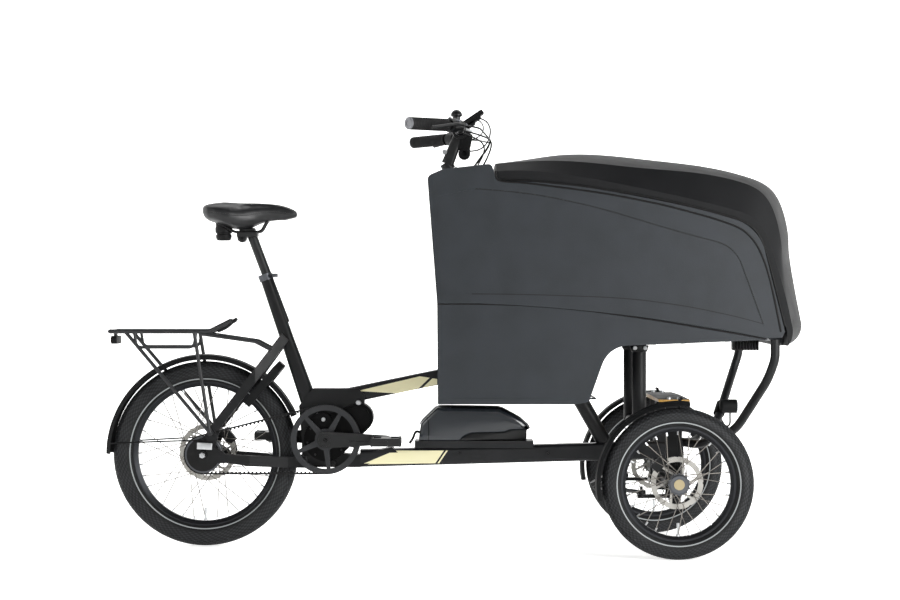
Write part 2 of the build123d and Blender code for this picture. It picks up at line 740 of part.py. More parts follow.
def pedals():
    for side in (1, -1):
        label = "left" if side > 0 else "right"
        x = crank_x - side * crank_length
        spindle = rod((x, side * (crank_tread - 12), crank_z), (x, side * 185, crank_z), pedal_spindle_radius)
        body = Pos(x, side * 137, crank_z) * Box(84, 94, 22)
        body = fillet(body.edges().filter_by(Axis.Y), 6)
        body -= Pos(x - 24, side * 137, crank_z) * Box(22, 66, 30)
        body -= Pos(x + 24, side * 137, crank_z) * Box(22, 66, 30)
        save(f"pedal_{label}", body + spindle)


# ---- saddle ---------------------------------------------------------------------------
seat_way = (Vector(seat_tube_top_x, 0, seat_tube_top_z) - Vector(*seat_tube_foot)).normalized()
post_top = Vector(seat_tube_top_x, 0, seat_tube_top_z) + seat_way * 148


def seatpost():
    low = Vector(seat_tube_top_x, 0, seat_tube_top_z) - seat_way * 130
    post = rod(low, post_top, seatpost_radius)
    clamp = Pos(*post_top) * Pos(-6, 0, 8) * Box(46, 40, 22)
    clamp = fillet(clamp.edges().filter_by(Axis.Y), 6)
    rails = None
    for side in (1, -1):
        level = post_top.Z + 23
        rail = bent_tube([(-648, side * 26, 930), (-606, side * 22, level), (-524, side * 22, level),
                          (-462, side * 12, 940)], 3.5, 14)
        rails = rail if rails is None else rails + rail
    return post + clamp + (rails - saddle())


def seat_clamp():
    """The quick-release collar round the mouth of the seat tube."""
    top = Vector(seat_tube_top_x, 0, seat_tube_top_z)
    ring = rod(top - seat_way * 6, top + seat_way * 12, 20)
    ring -= rod(top - seat_way * 40, top, 16.8)
    ring -= rod(top - seat_way * 40, top + seat_way * 40, seatpost_radius + 0.2)
    tube = tapered_beam(Vector(*seat_tube_foot) + (top - Vector(*seat_tube_foot)) * 0.45, top, (36, 38), (33, 33), 14)
    lever = Pos(*top) * Pos(26, -6, 8) * Box(14, 50, 10)
    return ring + lever - tube - rod(top - seat_way * 40, top + seat_way * 40, seatpost_radius + 0.2)


def saddle():
    """A padded saddle: a broad back, a narrow nose and a soft crown."""
    levels = []
    for x, half, low, top in ((-690, 60, 925, 944), (-650, 78, 912, 955), (-590, 62, 925, 955),
                              (-520, 30, 932, 951), (-450, 20, 925, 942), (-430, 14, 926, 936)):
        shape = Pos(0, (low + top) / 2) * Ellipse(half, (top - low) / 2)
        levels.append(Plane((x, 0, 0), x_dir=(0, 1, 0), z_dir=(1, 0, 0)) * shape)
    return loft(levels)


# ---- steering -------------------------------------------------------------------------
def tie_pin(side):
    """The centre of the tie rod's pin on the steering arm below the column."""
    return pitman_centre + head_across * pitman_length + Vector(0, side * tie_pin_y, 0)


def steer_pin(side):
    """The centre of the tie rod's pin on a knuckle arm."""
    return Vector(front_axle_x - steer_arm_length, side * (kingpin_y + tie_pin_y), steer_arm_z)


bar_clamp = (23, 0, 1157)
bar_corner = Vector(23, 219, 1157)
grip_way = Vector(-0.734, 0.679, -0.02).normalized()
grip_start = bar_corner + grip_way * 52
grip_end = bar_corner + grip_way * 184


def steering_column():
    """The long shaft inside the inclined tube, with the arm on its foot that pulls the tie rods."""
    shaft = rod(head_top - head_way * 14, column_foot, column_radius)
    flat = Plane(pitman_centre - head_way * 5, x_dir=head_across, z_dir=head_way)
    arm = make_face(Polyline((0, -21), (pitman_length, -tie_pin_y - 13), (pitman_length + 12, -tie_pin_y),
                             (pitman_length + 12, tie_pin_y), (pitman_length, tie_pin_y + 13), (0, 21), close=True))
    arm += Circle(21)
    plate = extrude(flat * arm, 10)
    whole = shaft + plate
    for side in (1, -1):
        pin = tie_pin(side)
        whole += rod(pin, pin + head_way * 22, 5)
    return whole


def stem():
    """The stem: a clamp on the column's top and a neck that leans forward to the bar clamp."""
    foot = head_top - head_way * 14
    neck_low = Vector(foot.X, 0, foot.Z + 6)
    neck = tapered_beam(neck_low, bar_clamp, (38, 34), (34, 28), 9)
    cap = rod(head_top - head_way * 2, head_top - head_way * 24, 18)
    clamp = Pos(*bar_clamp) * Rot(90, 0, 0) * Cylinder(21, 46)
    face = Pos(*bar_clamp) * Rot(0, -40, 0) * Pos(16, 0, 0) * Box(16, 44, 42)
    whole = neck + cap + clamp + face
    whole -= rod(head_top + head_way * 10, head_top - head_way * 14, column_radius)
    return whole - Pos(*bar_clamp) * Rot(90, 0, 0) * Cylinder(bar_radius + 0.02, 60)


def handlebar():
    """The bar: straight through the clamp, then swept back to the grips."""
    left = bent_tube([bar_clamp, bar_corner, grip_end], bar_radius, 34)
    return left + mirrored(left)


def grips():
    """The two rubber grips on the swept ends of the bar."""
    grip = rod(grip_start, grip_end, grip_radius) - rod(grip_start, grip_end, bar_radius + 0.02)
    return [grip, mirrored(grip)]


def brake_levers():
    """Lever bodies clamped inboard of the grips, each with its blade reaching along the grip."""
    start, way = grip_start, grip_way
    body = rod(start - way * 34, start - way * 10, 19) - rod(start - way * 60, start + way * 10, bar_radius + 0.02)
    ahead = Vector(-way.Y, way.X, 0)
    ahead = ahead if ahead.X > 0 else -ahead
    reach = rod(start - way * 22 + ahead * 16, start - way * 22 + ahead * 44, 9)
    blade = bent_tube([start - way * 24 + ahead * 42, start + way * 6 + ahead * 50,
                       start + way * 90 + ahead * 42 - Vector(0, 0, 12)], 4.5, 20)
    lever = body + reach + blade
    lever -= rod(start - way * 60, start + way * 10, bar_radius + 0.02)
    return [lever, mirrored(lever)]


def brake_cables():
    """The two brake hoses, from the lever bodies forward and down to just above the box's top."""
    ahead = Vector(-grip_way.Y, grip_way.X, 0) * -1
    start = grip_start - grip_way * 22 + ahead * 34
    bend = Vector(start.X + 51, start.Y - 47, 1151)
    hose = bent_tube([start, bend, (112, 30, 1128), (58, 14, 1054)], hose_radius, [60, 42])
    hose -= brake_levers()[0]
    return [hose, mirrored(hose)]


def display():
    """The display unit on its arm ahead of the bar clamp."""
    plate = Pos(60, 0, 1196) * Rot(0, -34, 0) * Box(64, 60, 12)
    arm = rod((36, 0, 1166), (56, 0, 1190), 7)
    return plate + arm - stem() - Pos(*bar_clamp) * Rot(90, 0, 0) * Cylinder(21, 46)


def knuckle(side):
    """The steered knuckle: a barrel on the kingpin, the stub axle and the steering arm behind."""
    y = kingpin_y
    barrel = Pos(front_axle_x, y, 202) * Cylinder(15, 89)
    kingpin = Pos(front_axle_x, y, 202) * Cylinder(kingpin_radius - running_fit, 122)
    stub = rod((front_axle_x, y, front_tyre_radius), (front_axle_x, front_track / 2 + 35, front_tyre_radius), stub_radius)
    shoulder = rod((front_axle_x, y, front_tyre_radius), (front_axle_x, front_track / 2 - 27, front_tyre_radius), 13)
    head = Pos(0, 0, steer_arm_z - tie_eye_height / 2 - tie_eye_gap - steer_arm_thickness)
    pin = steer_pin(1)
    arm = head * extrude(Pos(0, 0) * make_face(Polyline(
        (front_axle_x, y - 14), (pin.X - 4, pin.Y - 9), (pin.X - 4, pin.Y + 9), (front_axle_x, y + 14), close=True,
    )), steer_arm_thickness)
    arm += head * Pos(pin.X, pin.Y, steer_arm_thickness / 2) * Cylinder(11, steer_arm_thickness)
    arm += head * Pos(pin.X, pin.Y, steer_arm_thickness + 11) * Cylinder(4, 22)
    nut = rod((front_axle_x, front_track / 2 + 30.3, front_tyre_radius),
              (front_axle_x, front_track / 2 + 35, front_tyre_radius), 14)
    whole = barrel + kingpin + shoulder + stub + arm + nut
    return whole if side > 0 else mirrored(whole)


def caliper(side):
    """The brake caliper that straddles the disc behind and above the stub axle."""
    disc_y = front_track / 2 - front_disc_inset
    body = Pos(front_axle_x - 46, disc_y - 8, 252) * Rot(0, -45, 0) * Box(44, 26, 26)
    body -= Pos(front_axle_x, disc_y, front_tyre_radius) * Rot(90, 0, 0) * Cylinder(front_disc_radius + 4, disc_thickness + 3)
    lug = rod((front_axle_x - 10, kingpin_y + 8, 240), (front_axle_x - 40, disc_y - 12, 250), 6)
    lug -= Pos(front_axle_x, kingpin_y, 202) * Cylinder(15, 89)
    body += lug
    return body if side > 0 else mirrored(body)


def front_mudguard(side):
    """The short guard over a front wheel, on a stay from the knuckle, so it steers with the wheel."""
    start, end = 82, 192
    r, w = front_guard_radius, front_guard_half
    section = make_face(Polyline(
        (r - 12, w), (r - 3, w - 8), (r, 0), (r - 3, 8 - w), (r - 12, -w),
        (r - 13.5, 1.5 - w), (r - 5, 9 - w), (r - 2, 0), (r - 5, w - 9), (r - 13.5, w - 1.5), close=True,
    ))
    guard = revolve(section, Axis.Y, revolution_arc=end - start)
    guard = Pos(front_axle_x, front_track / 2, front_tyre_radius) * Rot(0, -end, 0) * guard
    stay_x = front_axle_x + 8
    stay = bent_tube([(stay_x, kingpin_y + 15, 218), (stay_x, kingpin_y + 30, 264), (stay_x, kingpin_y + 30, 425.5),
                      (stay_x, front_track / 2 + 4, 425.5)], 4, 12)
    stay -= Pos(front_axle_x, kingpin_y, 202) * Cylinder(15, 89)
    whole = guard + stay
    return whole if side > 0 else mirrored(whole)


def tie_rod(side):
    """A tie rod: a straight bar with an eye on the column arm's pin and one over the knuckle's pin."""
    inner = tie_pin(side) + head_way * 13
    outer = steer_pin(side)
    way = (outer - inner).normalized()
    bar = rod(inner + way * 6, outer - way * 6, 5.5)
    near_eye = rod(inner - head_way * 6, inner + head_way * 6, 11)
    far_eye = Pos(*outer) * Cylinder(12, tie_eye_height)
    whole = bar + near_eye + far_eye
    whole -= rod(inner - head_way * 30, inner + head_way * 30, 5 + running_fit)
    return whole - Pos(*outer) * Cylinder(5.2, 40)


# ---- cargo box ------------------------------------------------------------------------
seam = ((-39, 678), (74, 678), (452, 648), (830, 586))
tub_floor = ((456, 566), (625, 573), (832, 582))


def seam_edges(drop=0):
    """The curved joint line between the tub and the shell, from back to front."""
    back, bend, middle, front = seam
    return [
        Line((back[0], back[1] - drop), (bend[0], bend[1] - drop)),
        ThreePointArc((bend[0], bend[1] - drop), (middle[0], middle[1] - drop), (front[0], front[1] - drop)),
    ]


def tub_outline(inset):
    """The tub's side outline, shrunk by the wall on its back, floor and slanted front."""
    back, front = seam[0], seam[-1]
    low = box_back_low_z + inset
    points = [
        (front[0], front[1]), (front[0] + 2 - 2 * inset, 582 + inset), (625, 573 + inset),
        (413 - inset, 565 + inset), (361 - inset * 0.7, low + 6), (330, low),
        (back[0] + 2 + inset, low), (back[0] + inset, back[1]),
    ]
    edges = [Polyline(*points)]
    if inset:
        edges += [Line((back[0] + inset, back[1]), (back[0] + inset, back[1] + 40)),
                  Line((back[0] + inset, back[1] + 40), (front[0], back[1] + 40)),
                  Line((front[0], back[1] + 40), front)]
    else:
        edges += seam_edges()
    face = make_face(edges)
    return soften(face, [(413 - inset, 565 + inset, 75 + inset), (361 - inset * 0.7, low + 6, 12)])


def tub_solid():
    """The tub as if it were filled."""
    half = box_half_width - tub_inset
    return slab(tub_outline(0), -half, half)


def box_tub():
    """The lower half of the cargo box: a deep well behind the wheels and a shallow floor over them."""
    half = box_half_width - tub_inset
    inner = slab(tub_outline(box_wall), box_wall - half, half - box_wall)
    return tub_solid() - inner - tunnel_cut() - (tunnel_block() & tunnel_foot())


def rim_edges(lift=0):
    """The lid's joint line on the shell, from the back down to the nose."""
    return [
        Spline((118, 1001 + lift), (338, 985 + lift), (549, 948 + lift), (735, 902 + lift),
               tangents=((1, -0.01), (1, -0.32))),
        ThreePointArc((735, 902 + lift), (796 + lift * 0.6, 868 + lift * 0.6), (825 + lift, 812)),
        Line((825 + lift, 812), (877 + lift, 604)),
    ]


def shell_outline():
    edges = seam_edges()
    edges += [
        Line((830, 586), (870, 588)), Line((870, 588), (877, 604)),
        *rim_edges(),
        Polyline((118, 1001), (104, 1046), (-23, 1032), (-65, 1014), (-39, 678)),
    ]
    face = make_face(edges)
    return soften(face, [(104, 1046, 12), (-65, 1014, 16)])


def shell_cavity():
    """The room inside the shell, open below, above and in front of its rim."""
    w = box_wall
    points = [
        (-37 + w, 600), (-37 + w, 677), (-39 + w, 678.5), (-65 + w + 1, 1008 - w), (-23, 1032 - w), (100, 1046 - w), (113, 1010),
        (118, 1120), (1000, 1120), (1000, 604.5), (872, 604.5), (866, 593), (826, 593), (826, 560), (700, 500),
    ]
    return make_face(Polyline(*points, close=True))


def tunnel_outline(inset):
    """The side outline of the channel that the steering tube runs through."""
    gap = 45 - inset
    foot, top = head_top + head_way * 720, head_top - head_way * 60
    across = Vector(cos(radians(head_lean)), 0, sin(radians(head_lean)))
    low, high = foot + across * gap, top + across * gap
    points = [(-120, 380), (low.X + 20, 380), (low.X, low.Z), (high.X, high.Z), (-120, high.Z)]
    return make_face(Polyline(*points, close=True))


def tunnel_cut():
    """The slot left in the back wall and floor of the box for the steering tube."""
    limit = make_face(Polyline((-120, 380), (480, 380), (480, 600), (-120, 720), close=True))
    half = tunnel_half_width - tunnel_wall
    return slab(tunnel_outline(tunnel_wall), -half, half) & slab(limit, -200, 200)


def tunnel_block():
    """The steering tube's cover as if it were filled."""
    return slab(tunnel_outline(0), -tunnel_half_width, tunnel_half_width)


def tunnel_foot():
    """The layer of the floor that the cover's foot is let into."""
    back = box_back_x + 2 + box_wall
    floor = box_back_low_z
    layer = Polyline((back, floor), (480, floor), (480, floor + box_wall), (back, floor + box_wall), close=True)
    return slab(make_face(layer), -200, 200)


def lid_hinge_ears():
    """Two pairs of ears under the front sill, each pair with the pin that the lid turns on."""
    ears = None
    for side in (1, -1):
        pin_start = (hinge_x, side * (hinge_y - 13), hinge_z)
        ear = rod(pin_start, (hinge_x, side * (hinge_y + 13), hinge_z), hinge_pin_radius)
        for offset in (-10, 10):
            y = side * hinge_y + offset
            ear += slab(hull_of_circles((858, 586, 7), (hinge_x, hinge_z, 8)), y - 2.5, y + 2.5)
        ears = ear if ears is None else ears + ear
    return ears


def lid_hinge_room():
    """What the lid leaves open for the ears and bores for the pins."""
    room = None
    for side in (1, -1):
        bore = rod((hinge_x, side * (hinge_y - 16), hinge_z), (hinge_x, side * (hinge_y + 16), hinge_z),
                   hinge_pin_radius + running_fit)
        for offset in (-10, 10):
            y = side * hinge_y + offset
            bore += rod((hinge_x, y - 5, hinge_z), (hinge_x, y + 5, hinge_z), 14)
        room = bore if room is None else room + bore
    return room


def panel_recess():
    """The shallow panel pressed into each side of the shell, which keeps clear of the lid's joint line."""
    outline = make_face([
        Line((-41, 960), (61, 980)),
        Spline((61, 980), (234, 962), (391, 928), (497, 897), (602, 866), (700, 840), tangents=((1, -0.05), (1, -0.3))),
        ThreePointArc((700, 840), (742, 815), (765, 775)), Line((765, 775), (820, 624)),
        ThreePointArc((820, 624), (440, 692), (52, 703)), Polyline((52, 703), (-41, 703), (-41, 960)),
    ])
    half = box_half_width
    return slab(outline, half - panel_depth, half + 1) + slab(outline, -half - 1, panel_depth - half)


def box_shell():
    """The upper half of the cargo box: high sides, a back, a closed top behind the lid and a front sill."""
    outer = slab(shell_outline(), -box_half_width, box_half_width)
    inner = slab(shell_cavity(), box_wall - box_half_width, box_half_width - box_wall)
    shell = outer - inner - panel_recess()
    shell += lid_hinge_ears()
    collar = rod(head_top + head_way * 80, head_top - head_way * 60, head_tube_radius + clearance)
    return shell - collar - tunnel_cut()


def column_tunnel():
    """The inner cover that keeps the load off the steering tube, closed against the back wall and floor."""
    room = slab(shell_cavity(), -tunnel_half_width, tunnel_half_width)
    room += slab(tub_outline(box_wall), -tunnel_half_width, tunnel_half_width)
    room += tunnel_foot()
    half = tunnel_half_width - tunnel_wall
    return (tunnel_block() & room) - slab(tunnel_outline(tunnel_wall), -half, half)


# Three lengthwise sections of the lid, by distance from the centre plane: the crown, the nose
# and the tip below it, as (x, z) points.
lid_sections = {
    0: (((119, 1062), (303, 1090), (560, 1075), (808, 1032)), ((893, 985), (930, 880), (966, 631)), (950, 575)),
    318: (((119, 1048), (287, 1056), (499, 1037), (764, 1000)), ((832, 960), (872, 845), (904, 640)), (900, 584)),
    349: (((119, 1026), (391, 1003), (602, 960), (764, 919)), ((828, 858), (860, 765), (896, 622)), (894, 580)),
}
lid_tip = (876, 566)


def lid_section(distance, y):
    """One closed lengthwise section of the lid, placed at y."""
    crown, nose, tip = lid_sections[distance]
    edges = [
        Line((119, 1001 + lid_gap), crown[0]),
        Spline(*crown, tangents=((1, 0.1), (1, -0.3))),
        Spline(crown[-1], *nose, tangents=((1, -0.3), (0.2, -1))),
        ThreePointArc(nose[-1], tip, (lid_tip[0] + 10, lid_tip[1])),
        Line((lid_tip[0] + 10, lid_tip[1]), (877 + lid_gap, 604)),
        Line((877 + lid_gap, 604), (825 + lid_gap, 812)),
        ThreePointArc((825 + lid_gap, 812), (796 + lid_gap * 0.6, 868 + lid_gap * 0.6), (735, 902 + lid_gap)),
        Spline((735, 902 + lid_gap), (549, 948 + lid_gap), (338, 985 + lid_gap), (119, 1001 + lid_gap),
               tangents=((-1, 0.32), (-1, 0.01))),
    ]
    return side_plane(y) * make_face(edges)


def lid_room(distance, y):
    """The hollow under one lengthwise section of the lid."""
    crown, nose, tip = lid_sections[distance]
    w = lid_wall
    crown = [(x + w, z - w) for x, z in crown]
    crown[-1] = (crown[-1][0] - w, crown[-1][1])
    nose = [(x - w, z - w / 2) for x, z in nose]
    edges = [
        Line((119 + w, 598), crown[0]),
        Spline(*crown, tangents=((1, 0.1), (1, -0.3))),
        Spline(crown[-1], *nose, tangents=((1, -0.3), (0.2, -1))),
        Polyline(nose[-1], (nose[-1][0] - 4, 598), (119 + w, 598)),
    ]
    return side_plane(y) * make_face(edges)


def lid():
    """The one-piece lid: a crowned top that turns down over the nose, with a sloping shoulder each side."""
    middle = loft([lid_section(318, -318), lid_section(0, 0), lid_section(318, 318)])
    room = loft([lid_room(318, -318), lid_room(0, 0), lid_room(318, 318)])
    for side in (1, -1):
        middle += loft([lid_section(318, side * 318), lid_section(349, side * 349)], ruled=True)
        room += loft([lid_room(318, side * 318), lid_room(349, side * 345)], ruled=True)
    return middle - room - lid_hinge_room()


# ---- the whole tricycle -----------------------------------------------------------------
def build():
    os.makedirs("parts", exist_ok=True)
    rear_wheel()
    for side in (1, -1):
        label = "left" if side > 0 else "right"
        front_wheel(side)
        save(f"knuckle_{label}", knuckle(side) + caliper(side))
        save(f"front_mudguard_{label}", front_mudguard(side))
        save(f"tie_rod_{label}", tie_rod(side))
    pieces = {
        "main_tube": main_tube, "upper_tube": upper_tube, "seat_tube": seat_tube, "seat_stays": seat_stays,
        "chain_stays": chain_stays, "motor_bracket": motor_bracket, "motor": motor, "head_tube": head_tube,
        "front_tower": front_tower, "lower_beam": lower_beam, "leaf_spring": leaf_spring, "uprights": uprights,
        "box_mounts": box_mounts, "bull_bar": bull_bar, "battery": battery, "rear_rack": rear_rack,
        "rear_axle": rear_axle, "rear_mudguard": rear_mudguard, "rear_caliper": rear_caliper,
        "ring_lock": ring_lock, "tail_lamp": tail_lamp, "headlight": headlight, "crankset": crankset,
        "belt_ring": belt_ring, "drive_belt": drive_belt, "seatpost": seatpost, "seat_clamp": seat_clamp,
        "saddle": saddle, "steering_column": steering_column, "stem": stem, "handlebar": handlebar,
        "grips": grips, "brake_levers": brake_levers, "brake_cables": brake_cables, "display": display,
        "box_tub": box_tub, "box_shell": box_shell, "column_tunnel": column_tunnel, "lid": lid,
    }
    for name, make in pieces.items():
        save(name, make())
    pedals()


build()
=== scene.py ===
import math

import bpy
import bmesh
from mathutils import Matrix, Vector


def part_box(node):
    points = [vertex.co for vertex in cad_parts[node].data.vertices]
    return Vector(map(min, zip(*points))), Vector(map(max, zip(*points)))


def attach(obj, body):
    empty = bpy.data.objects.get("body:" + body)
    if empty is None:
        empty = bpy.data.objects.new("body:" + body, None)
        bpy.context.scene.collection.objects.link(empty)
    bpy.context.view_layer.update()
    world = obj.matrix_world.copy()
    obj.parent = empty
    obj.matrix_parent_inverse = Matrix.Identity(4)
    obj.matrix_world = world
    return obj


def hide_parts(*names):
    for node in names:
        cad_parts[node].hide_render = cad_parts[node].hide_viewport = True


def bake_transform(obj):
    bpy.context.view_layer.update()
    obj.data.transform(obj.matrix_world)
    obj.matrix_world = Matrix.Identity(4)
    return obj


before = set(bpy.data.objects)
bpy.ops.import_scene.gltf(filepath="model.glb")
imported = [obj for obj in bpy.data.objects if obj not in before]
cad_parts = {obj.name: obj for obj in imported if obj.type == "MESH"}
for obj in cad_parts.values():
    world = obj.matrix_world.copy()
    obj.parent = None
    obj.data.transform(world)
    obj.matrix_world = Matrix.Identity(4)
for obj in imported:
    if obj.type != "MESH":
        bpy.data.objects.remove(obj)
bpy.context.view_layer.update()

# ---- camera, floor and light ----
# A long lens square to the right side, at the height of the seat tube's foot. The studio is a
# round cove of white acrylic whose floor curves up into its wall. It is lit softly through the
# acrylic, most on the far side, and by large soft boxes.


def new_object(name, data):
    """An object of that data, in the scene."""
    obj = bpy.data.objects.new(name, data)
    bpy.context.scene.collection.objects.link(obj)
    return obj


camera_data = bpy.data.cameras.new("studio_camera")
camera_data.lens = 84.2
camera_data.sensor_width = 36.0
camera_data.clip_end = 60.0
camera = new_object("studio_camera", camera_data)
camera.location = (-0.005, -5.896, 0.687)
camera.rotation_euler = (math.radians(90), 0, 0)
bpy.context.scene.camera = camera
bpy.context.scene.view_settings.view_transform = "Standard"


def linear(hex_colour):
    """An sRGB hex colour as the linear values that a shader takes."""
    parts = [int(hex_colour[i:i + 2], 16) / 255 for i in (1, 3, 5)]
    return (*[c / 12.92 if c <= 0.04045 else ((c + 0.055) / 1.055) ** 2.4 for c in parts], 1.0)


def add(tree, kind, settings, links):
    """Adds one shader node with its settings, and links each named input to an output."""
    node = tree.nodes.new("ShaderNode" + kind)
    for name, value in settings.items():
        if isinstance(name, int) or name in node.inputs:
            node.inputs[name].default_value = value
        else:
            setattr(node, name, value)
    for name, source in links.items():
        tree.links.new(source, node.inputs[name])
    return node


def calc(tree, operation, *values):
    """One maths node on numbers or outputs of other nodes."""
    node = add(tree, "Math", {"operation": operation}, {})
    for socket, value in zip(node.inputs, values):
        if isinstance(value, (int, float)):
            socket.default_value = value
        else:
            tree.links.new(value, socket)
    return node.outputs["Value"]


def remap(tree, value, start, stop, low=0.0, high=1.0):
    """A value between start and stop as one between low and high."""
    limits = {"From Min": start, "From Max": stop, "To Min": low, "To Max": high}
    return add(tree, "MapRange", limits, {"Value": value}).outputs["Result"]


def noise(tree, place, scale, detail=2.0):
    """A cloudy pattern between 0 and 1."""
    settings = {"Scale": scale, "Detail": detail}
    return add(tree, "TexNoise", settings, {"Vector": place}).outputs["Fac"]


def surface(name, colour, roughness, specular=0.5, **settings):
    """A new material of one colour, with its tree, its shader and its Object coordinates."""
    material = bpy.data.materials.new(name)
    material.use_nodes = True
    tree = material.node_tree
    shader = tree.nodes["Principled BSDF"]
    shader.inputs["Base Color"].default_value = linear(colour)
    shader.inputs["Roughness"].default_value = roughness
    shader.inputs["Specular IOR Level"].default_value = specular
    for key, value in settings.items():
        shader.inputs[key.replace("_", " ").title()].default_value = value
    place = add(tree, "TexCoord", {}, {}).outputs["Object"]
    return material, tree, shader, place


def outward(bm):
    """Turns all normals outward."""
    bmesh.ops.recalc_face_normals(bm, faces=bm.faces[:])


def full_turn(bm, axis, steps, centre=(0, 0, 0), near=1e-6):
    """Spins an outline all the way round and closes the surface."""
    bmesh.ops.spin(bm, geom=bm.verts[:] + bm.edges[:], cent=centre, axis=axis, angle=math.tau, steps=steps,
                   use_merge=True)
    bmesh.ops.remove_doubles(bm, verts=bm.verts[:], dist=near)
    outward(bm)


def piece(name, bm, material, body="frame", angle=35):
    """Turns a finished bmesh into an object at the origin that rides on a body."""
    mesh = bpy.data.meshes.new(name)
    for face in bm.faces:
        face.smooth = True
    bm.to_mesh(mesh)
    bm.free()
    mesh.set_sharp_from_angle(angle=math.radians(angle))
    mesh.materials.append(material)
    obj = new_object(name, mesh)
    if body:
        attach(obj, body)
    return obj


seamless, tree, shader, place = surface("matte_studio_acrylic", "#fbfbfa", 0.9,
                                        emission_color=linear("#ffffff"))
tree.links.new(remap(tree, noise(tree, place, 1.5, 3.0), 0.0, 1.0, 0.84, 0.94), shader.inputs["Roughness"])
axes = add(tree, "SeparateXYZ", {}, {"Vector": place})
tree.links.new(remap(tree, axes.outputs["Y"], -4.0, 3.0, 0.05, 0.97), shader.inputs["Emission Strength"])
bm = bmesh.new()
run = bmesh.ops.create_vert(bm, co=(0.001, 0, 0))["vert"]
floor_radius, cove_radius, wall_rise = 9.0, 3.0, 5.0
for reach in (2.0, 5.0, floor_radius):
    run = bmesh.ops.extrude_vert_indiv(bm, verts=run)["verts"]
    run[0].co = (reach, 0, 0)
bmesh.ops.spin(bm, geom=run, cent=(floor_radius, 0, cove_radius), axis=(0, -1, 0), angle=math.radians(85),
               steps=14)
bm.verts.ensure_lookup_table()
top = [max(bm.verts, key=lambda v: v.co.z)]
rise = bmesh.ops.extrude_vert_indiv(bm, verts=top)["verts"]
bmesh.ops.translate(bm, verts=rise, vec=(0.3, 0, wall_rise))
full_turn(bm, (0, 0, 1), 72, near=0.003)
if min(bm.faces, key=lambda f: f.calc_center_median().length).normal.z < 0:
    bmesh.ops.reverse_faces(bm, faces=bm.faces[:])
floor = piece("studio_floor", bm, seamless, None)

world = bpy.data.worlds.new("studio_world")
bpy.context.scene.world = world
world.use_nodes = True
sky = world.node_tree.nodes["Background"].inputs
sky["Color"].default_value = linear("#ffffff")
sky["Strength"].default_value = 0.13
for name, place, aim, size, power in (
    ("overhead_soft_box", (0.1, 1.0, 3.4), (0.0, 0.2, 0.0), (5.0, 1.4), 66),
    ("front_soft_box", (2.5, -2.5, 1.2), (0.6, 0.0, 0.6), (1.4, 1.6), 112),
    ("rear_soft_box", (-3.2, -3.2, 1.6), (-0.5, 0.0, 0.5), (1.4, 2.0), 34),
    ("backdrop_soft_box", (0.0, 2.2, 3.2), (0.0, 4.6, 0.9), (5.0, 1.2), 60),
):
    lamp_data = bpy.data.lights.new(name, "AREA")
    lamp_data.shape = "RECTANGLE"
    lamp_data.size, lamp_data.size_y = size
    lamp_data.energy = power
    lamp = new_object(name, lamp_data)
    lamp.location = place
    lamp.rotation_euler = (Vector(aim) - Vector(place)).to_track_quat("-Z", "Y").to_euler()

# ---- frame tubes ----
# Welded steel tubes under a matte black powder coat. The coat's orange peel shows as a fine
# ripple, and its gloss changes a little from place to place.


def size_of(millimetres):
    """The texture scale of a pattern that repeats about every so many millimetres."""
    return 1000 / millimetres


def relief(tree, shader, pattern, strength, distance):
    """Raises a pattern on the shader's surface."""
    bump = add(tree, "Bump", {"Strength": strength, "Distance": distance}, {"Height": pattern})
    tree.links.new(bump.outputs["Normal"], shader.inputs["Normal"])


def grain(tree, shader, place, spacing, height, rough):
    """A fine relief of that spacing and height in mm, and a roughness between two values."""
    relief(tree, shader, noise(tree, place, size_of(spacing)), 0.6, height / 1000)
    broad = noise(tree, place, size_of(60), 4.0)
    tree.links.new(remap(tree, broad, 0.3, 0.7, *rough), shader.inputs["Roughness"])
    return broad


def mottle(tree, shader, broad, dark, light):
    """A base colour that drifts between two close colours with a broad pattern."""
    ramp = add(tree, "ValToRGB", {}, {"Fac": broad})
    for element, position, colour in zip(ramp.color_ramp.elements, (0.35, 0.65), (dark, light)):
        element.position, element.color = position, linear(colour)
    tree.links.new(ramp.outputs["Color"], shader.inputs["Base Color"])
    return ramp.outputs["Color"]


def mix(tree, share, one, two):
    """A colour that goes from one to two with a share; each is a hex colour or an output."""
    node = add(tree, "Mix", {"data_type": "RGBA"}, {0: share})
    for number, colour in ((6, one), (7, two)):
        if isinstance(colour, str):
            node.inputs[number].default_value = linear(colour)
        else:
            tree.links.new(colour, node.inputs[number])
    return node.outputs[2]


def finish(name, colour, roughness, spacing, height, rough, shades=None, **settings):
    """A material with grain, and with two close shades where they are given."""
    material, tree, shader, place = surface(name, colour, roughness, **settings)
    broad = grain(tree, shader, place, spacing, height, rough)
    if shades:
        mottle(tree, shader, broad, *shades)
    return material


def coat(mesh, *materials):
    """Gives a mesh these materials and no other."""
    mesh.materials.clear()
    for material in materials:
        mesh.materials.append(material)


def dress(material, *names):
    """Gives CAD nodes one finish."""
    for name in names:
        coat(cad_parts[name].data, material)


powder_coat = finish("powder_coated_steel", "#0b0c0d", 0.42, 1.6, 0.06, (0.4, 0.54),
                     shades=("#0a0b0c", "#0f1012"), specular=0.26)
dress(powder_coat, "seat_tube", "seat_stays", "chain_stays", "motor_bracket", "head_tube", "front_tower",
      "lower_beam", "uprights", "box_mounts", "bull_bar", "knuckle_left", "knuckle_right",
      "tie_rod_left", "tie_rod_right", "steering_column", "rear_caliper")
